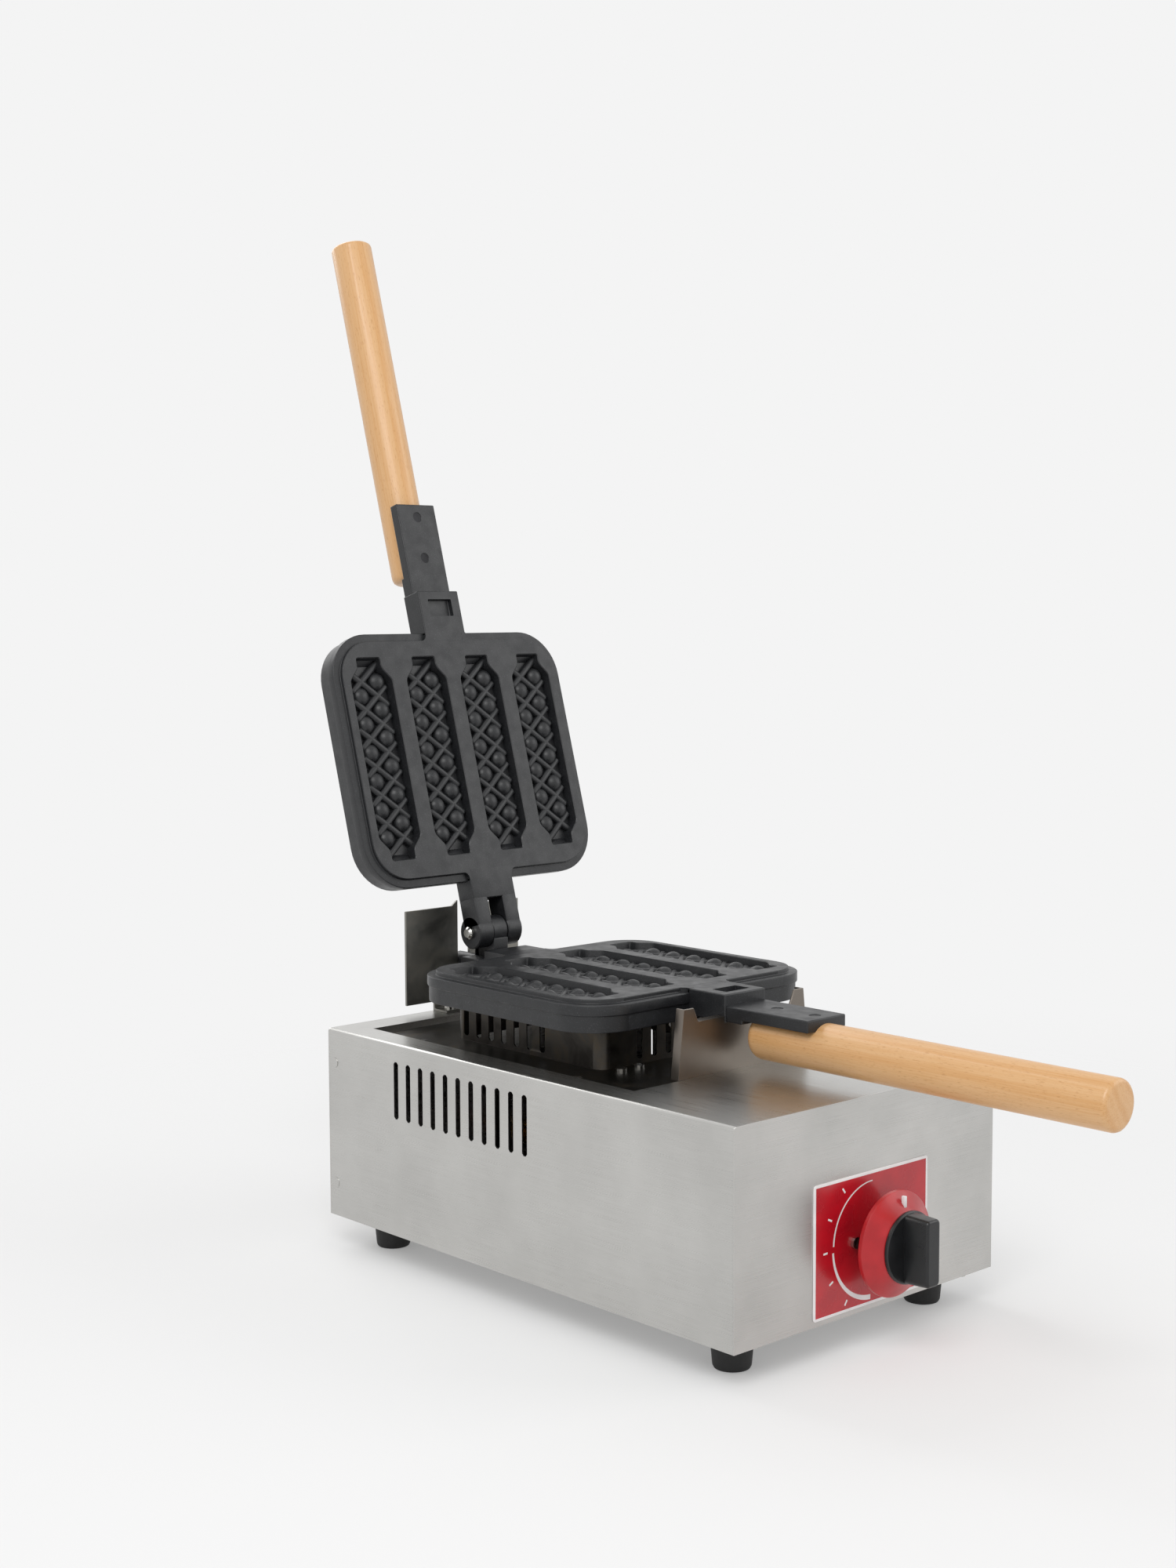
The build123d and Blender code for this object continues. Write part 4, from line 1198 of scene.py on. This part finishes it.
@dataclass
class Controls:
    """The dial plate and the push-and-turn knob on the front panel."""

    front: float = -200.0
    height: float = 68.5
    dial_width: float = 108.0
    dial_height: float = 84.0
    border: float = 1.6
    knob_radius: float = 33.0
    face_radius: float = 22.5
    grip_width: float = 14.0
    grip_height: float = 43.0
    grip_depth: float = 49.0
    sheet: float = 0.8
    print_low: float = 0.7
    print_top: float = 0.86
    crescents: tuple[tuple[float, ...], ...] = ((0.0, 88.0, 35.4, 0.7, 1.3), (94.0, 84.0, 35.8, 1.5, 3.2))
    stroke_count: int = 5
    stroke_start: float = 128.0
    stroke_step: float = 27.0
    stroke_reach: tuple[float, float] = (41.6, 45.4)
    stroke_half: float = 0.6

    def facing(self) -> Matrix:
        """Gives the placement that turns a shape drawn on XY to face the front."""
        return Matrix.Translation((0, self.front, self.height)) @ turning("X", 90)

    def plate(self) -> Mesh:
        """Makes the plate with a white border and a red field.

        Returns:
            The plate, whose border has the second material.
        """
        bm = slab(self.dial_width, self.dial_height, 2.0, 0.0, self.sheet, 0.0, 4)
        bevel_edges(bm, 0.2, 2, sharp(60))
        face = max(bm.faces, key=lambda f: f.calc_area() if f.normal.z > 0.9 else 0.0)
        bmesh.ops.inset_region(bm, faces=[face], thickness=self.border, depth=0.0, use_even_offset=True)
        for other in bm.faces:
            other.material_index = 1
        face.material_index = 0
        return bm

    def arc(self) -> Mesh:
        """Makes the two printed crescents that tell where the flame grows.

        Each is given by its start and sweep in degrees, its inner radius and its least and greatest width.

        Returns:
            The thin raised prints.
        """
        both = bmesh.new()
        low, top = self.print_low, self.print_top
        for start, sweep, inner, thin, thick in self.crescents:
            bm = bmesh.new()
            corners = [(0, inner, low), (0, inner + 1, low), (0, inner + 1, top), (0, inner, top)]
            first = bm.faces.new([bm.verts.new(corner) for corner in corners])
            bmesh.ops.spin(
                bm, geom=[first], axis=(0, 0, 1), cent=(0, 0, 0), steps=36, angle=math.radians(sweep)
            )
            for vert in bm.verts:
                angle = (math.atan2(vert.co.y, vert.co.x) - math.pi / 2) % (2 * math.pi)
                part = min(angle / math.radians(sweep), 1.0) if angle < math.pi * 1.5 else 0.0
                if vert.co.xy.length > inner + 0.5:
                    vert.co.xy *= (inner + thin + (thick - thin) * part) / (inner + 1)
            bmesh.ops.holes_fill(bm, edges=[e for e in bm.edges if e.is_boundary], sides=0)
            outward(bm)
            merge(both, bm, turning("Z", start))
        return both

    def marks(self) -> Mesh:
        """Makes plain printed strokes: a scale beside the crescent.

        Returns:
            The thin raised prints.
        """
        bm = bmesh.new()
        near, far = self.stroke_reach
        for number in range(self.stroke_count):
            stroke = bar((near, -self.stroke_half, 0.78), (far, self.stroke_half, 0.9))
            merge(bm, stroke, turning("Z", self.stroke_start + self.stroke_step * number))
        return bm

    def skirt(self) -> Mesh:
        """Makes the flared red skirt of the knob.

        Returns:
            The skirt, with the front panel at height 0.
        """
        r, face = self.knob_radius, self.face_radius
        profile = [(9.9, 29), (face - 0.8, 29), (face, 28.6), (face + 0.8, 27.8), (r - 2.4, 21.6)]
        profile += [(r - 0.7, 20.8), (r, 20), (r, 17.8), (r - 0.5, 17.1), (r - 2.0, 17)]
        profile += [(face - 1.0, 26), (9.9, 26), (9.9, 29)]
        return turned(profile, 72)

    def grip(self) -> Mesh:
        """Makes the black hub, disc and upright bar.

        Returns:
            The grip, with the front panel at height 0.
        """
        face = self.face_radius
        profile = [(0, 28.4), (4.1, 28.4), (4.1, 10), (9.8, 10), (9.8, 28.9), (face - 0.5, 28.9)]
        profile += [(face, 29.4), (face, 30.8), (face - 0.9, 31.5), (0, 31.5)]
        bm = turned(profile, 64)
        handle = slab(self.grip_width, self.grip_height, 3.4, 29.0, self.grip_depth, 0.0, 6)
        top = [v for v in handle.verts if v.co.z > 40]
        bmesh.ops.scale(handle, vec=(0.88, 0.96, 1), verts=top)
        bevel_edges(handle, 1.6, 4, lambda e: sharp(50)(e) and min(v.co.z for v in e.verts) > 40)
        merge(bm, handle)
        return bm

    def build(self, palette: Palette) -> None:
        """Builds the controls.

        Args:
            palette: The finishes.
        """
        p = palette
        pointer = bar((-1.1, 24.0, 24.5), (1.1, 31.0, 27.2), 0.3)
        for name, bm, body, finishes, nodes, slot in (
            ("dial", self.plate(), "casing", [p.red_enamel, p.white_print], ["dial_plate"], "red"),
            ("dial_crescent", self.arc(), "casing", [p.white_print], [], "red"),
            ("dial_scale", self.marks(), "casing", [p.white_print], [], "red"),
            ("knob_red_skirt", self.skirt(), "knob", [p.red_plastic], ["knob_skirt"], "red"),
            ("knob_black_grip", self.grip(), "knob", [p.black_plastic], ["knob_grip"], "black_plastic"),
            ("knob_pointer", pointer, "knob", [p.white_print], [], "red"),
        ):
            made = bmesh.new()
            merge(made, bm, self.facing())
            place(name, made, body, finishes, nodes, slot)


@dataclass
class Feet:
    """Four turned rubber feet."""

    top_radius: float = 14.0
    tip_radius: float = 12.0
    height: float = 23.0
    x: float = 90.5
    y: float = 168.0

    def build(self, palette: Palette) -> None:
        """Builds the feet.

        Args:
            palette: The finishes.
        """
        bm = bmesh.new()
        t, r, h = self.tip_radius, self.top_radius, self.height
        profile = [(6.5, 9), (6.5, 0.6), (7.1, 0), (t - 2.2, 0), (t - 0.8, 0.5), (t - 0.1, 1.8), (t + 0.1, 3)]
        profile += [(r - 0.3, h - 2.4), (r, h - 1.4), (r, h), (2.6, h), (2.6, 9), (6.5, 9)]
        for sx in (-1, 1):
            for sy in (-1, 1):
                merge(bm, turned(profile, 40), Matrix.Translation((sx * self.x, sy * self.y, 0)))
        place("rubber_foot_set", bm, "casing", [palette.rubber], ["rubber_feet"], "rubber")


class Refined:
    """Sheet and machined pieces that keep the CAD outline and get rounded edges."""

    side: float = 122.5
    flush: float = 0.12
    screw_start: float = 114.0

    def __init__(self, palette: Palette) -> None:
        """Keeps the finishes.

        Args:
            palette: The finishes.
        """
        self.palette = palette

    def copied(self, node: str) -> Mesh:
        """Copies a CAD node's mesh and joins its split corners.

        Args:
            node: The CAD node.

        Returns:
            The copy, in millimetres.
        """
        bm = bmesh.new()
        bm.from_mesh(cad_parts[node].data)
        bmesh.ops.scale(bm, vec=(1 / MM,) * 3, verts=bm.verts)
        bmesh.ops.remove_doubles(bm, verts=bm.verts, dist=0.002)
        return bm

    def refine(self, node: str, material: bpy.types.Material, slot: str, edge: float) -> None:
        """Copies a CAD node's mesh, joins its triangles and rounds its edges.

        Args:
            node: The CAD node.
            material: Its finish.
            slot: Its material slot.
            edge: The round, in millimetres.
        """
        bm = self.copied(node)
        bmesh.ops.dissolve_limit(
            bm, angle_limit=math.radians(1.0), verts=bm.verts, edges=bm.edges, delimit={"NORMAL"}
        )
        bevel_edges(bm, edge, 2, sharp(40))
        place(node + "_fine", bm, "casing", [material], [node], slot, 30.0)

    def side_screws(self) -> None:
        """Copies the casing screws, and makes those in the sides flatter and in the sheet's own finish."""
        bm = self.copied("casing_screws")
        for face in bm.faces:
            face.material_index = 1 if abs(face.calc_center_median().x) > self.screw_start else 0
        for vert in bm.verts:
            past = abs(vert.co.x) - self.side
            if past > 0:
                vert.co.x = math.copysign(self.side + self.flush * past, vert.co.x)
        finishes = [self.palette.bright, self.palette.side]
        place("casing_screws_fine", bm, "casing", finishes, ["casing_screws"], "bright_steel")

    def build(self) -> None:
        """Builds the refined pieces."""
        p = self.palette
        self.side_screws()
        for node, material, slot, edge in (
            ("housing_wrap", p.side, "stainless", 0.3),
            # The end panels take the sheet that is painted a shade lighter than the casing, as painted light.
            ("front_panel", p.front, "stainless", 0.48),
            ("rear_panel", p.front, "stainless", 0.35),
            ("front_rest", p.rest, "stainless", 0.3),
            ("rear_rest", p.rear_rest, "dark_steel", 0.35),
            ("heat_shield", p.heated, "dark_steel", 0.25),
        ):
            self.refine(node, material, slot, edge)


class Carried:
    """CAD nodes that stay as they are and get their finish."""

    def __init__(self, palette: Palette) -> None:
        """Keeps the finishes by node.

        Args:
            palette: The finishes.
        """
        p = palette
        self.finishes = {
            "base_plate": p.side,
            "foot_screws": p.bright,
            "rest_screws": p.bright,
            "shield_screws": p.bright,
            "burner_ring": p.cast_iron,
            "mixer_tube": p.cast_iron,
            "injector": p.brass,
            "burner_stand": p.heated,
            "valve_body": p.brass,
            "stem_collar": p.brass,
            "valve_stem": p.bright,
            "control_screws": p.bright,
            "igniter_unit": p.black_plastic,
            "igniter_electrode": p.ceramic,
            "ignition_lead": p.rubber,
            "supply_pipe": p.copper,
            "inlet_pipe": p.copper,
            "gas_inlet": p.brass,
            "lower_handle_screws": p.oxide,
            "upper_handle_screws": p.oxide,
            "hinge_pin": p.bright,
        }

    def build(self) -> None:
        """Gives each node its finish."""
        for name, material in self.finishes.items():
            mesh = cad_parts[name].data
            mesh.materials.clear()
            mesh.materials.append(material)
            log.info("%s keeps its shape, in %s", name, material.name)


@dataclass
class Studio:
    """Pale floor and backdrop, soft light and the camera."""

    eye: Vector = field(default_factory=lambda: Vector((-0.99284, -1.02794, 0.45765)))
    azimuth: float = -42.44
    pitch: float = 4.80
    roll: float = -0.21
    lens: float = 48.6
    backdrop: str = "f4f4f4"
    fade_start: float = 0.35
    fade_end: float = 1.1
    floor_colour: str = "d7d7d7"
    floor_glow: float = 0.22
    floor_radius: float = 3.0
    ambient: float = 0.55

    def camera(self) -> None:
        """Sets the camera where the photograph was taken."""
        data = bpy.data.cameras.new("camera")
        data.lens = self.lens
        data.sensor_width = 36.0
        camera = bpy.data.objects.new("camera", data)
        turn = (
            turning("Z", self.azimuth)
            @ turning("X", 90 - self.pitch)
            @ turning("Z", self.roll)
        )
        camera.matrix_world = Matrix.Translation(self.eye) @ turn
        bpy.context.scene.collection.objects.link(camera)
        bpy.context.scene.camera = camera

    def floor(self) -> None:
        """Makes the pale floor, which fades out before its edge so that it shows no horizon."""
        material, tree, shader = start_material("matte_white_floor")
        shader.inputs["Base Color"].default_value = linear(self.floor_colour)
        shader.inputs["Roughness"].default_value = 1.0
        shader.inputs["Specular IOR Level"].default_value = 0.0
        shader.inputs["Emission Color"].default_value = linear("ffffff")
        shader.inputs["Emission Strength"].default_value = self.floor_glow
        place_at = add_node(tree, "ShaderNodeTexCoord").outputs["Object"]
        distance = add_node(tree, "ShaderNodeVectorMath", {"operation": "LENGTH"}, {0: place_at})
        span = {"Value": distance.outputs["Value"], "From Min": self.fade_start, "From Max": self.fade_end}
        fade = add_node(tree, "ShaderNodeMapRange", {"interpolation_type": "SMOOTHSTEP"}, span)
        clear = add_node(tree, "ShaderNodeBsdfTransparent")
        parts = {0: fade.outputs["Result"], 1: shader.outputs["BSDF"], 2: clear.outputs["BSDF"]}
        blend = add_node(tree, "ShaderNodeMixShader", inputs=parts)
        finish = next(node for node in tree.nodes if node.bl_idname == "ShaderNodeOutputMaterial")
        tree.links.new(blend.outputs["Shader"], finish.inputs["Surface"])
        bm = bmesh.new()
        bmesh.ops.create_circle(bm, cap_ends=True, segments=96, radius=self.floor_radius)
        mesh = bpy.data.meshes.new("floor")
        bm.to_mesh(mesh)
        bm.free()
        mesh.materials.append(material)
        floor = bpy.data.objects.new("floor", mesh)
        bpy.context.scene.collection.objects.link(floor)

    def light(self, name: str, place_at: tuple, look_at: tuple, size: float, power: float) -> None:
        """Adds one soft lamp.

        Args:
            name: The lamp's name.
            place_at: Where it stands, in metres.
            look_at: What it points at.
            size: The side of its square.
            power: Its power in watts.
        """
        data = bpy.data.lights.new(name, "AREA")
        data.size = size
        data.energy = power
        lamp = bpy.data.objects.new(name, data)
        lamp.location = place_at
        lamp.rotation_euler = (Vector(look_at) - Vector(place_at)).to_track_quat("-Z", "Y").to_euler()
        bpy.context.scene.collection.objects.link(lamp)

    def world(self) -> None:
        """Makes the white surroundings that the camera and the metal see."""
        world = bpy.data.worlds.new("studio")
        bpy.context.scene.world = world
        world.use_nodes = True
        tree = world.node_tree
        tree.nodes.clear()
        path = add_node(tree, "ShaderNodeLightPath")
        seen = path.outputs["Is Camera Ray"]
        for ray in ("Is Glossy Ray", "Is Transmission Ray"):
            either = {0: seen, 1: path.outputs[ray]}
            seen = add_node(tree, "ShaderNodeMath", {"operation": "MAXIMUM"}, either).outputs[0]
        dim = {"Color": linear("ffffff"), "Strength": self.ambient}
        plain = add_node(tree, "ShaderNodeBackground", inputs=dim)
        bright = {"Color": linear(self.backdrop), "Strength": 1.0}
        white = add_node(tree, "ShaderNodeBackground", inputs=bright)
        parts = {0: seen, 1: plain.outputs[0], 2: white.outputs[0]}
        mix = add_node(tree, "ShaderNodeMixShader", inputs=parts)
        add_node(tree, "ShaderNodeOutputWorld", inputs={"Surface": mix.outputs[0]})

    def build(self) -> None:
        """Builds the studio."""
        bpy.context.scene.view_settings.view_transform = "Standard"
        self.camera()
        self.floor()
        self.world()
        self.light("key", (-1.6, -1.2, 2.2), (0, 0, 0.15), 1.6, 34.0)
        self.light("fill", (1.8, -1.6, 1.4), (0, 0, 0.2), 1.8, 14.0)
        self.light("rear", (0.2, 2.0, 1.8), (0, 0, 0.2), 1.6, 16.0)


def main() -> None:
    """Builds every sub-assembly."""
    logging.basicConfig(level=logging.INFO, format="%(message)s")
    irons = Irons()
    hinge = tuple(irons.hinge * MM)
    seat_z = irons.face_z - irons.neck_drop - irons.neck_thickness
    wood_z = (seat_z + irons.handle_sink - irons.handle_radius) * MM
    palette = Palette(-irons.open_angle, hinge, -0.24, wood_z)
    Studio().build()
    irons.build(palette)
    Controls().build(palette)
    Feet().build(palette)
    Refined(palette).build()
    Carried(palette).build()


if __name__ == "__main__":
    main()
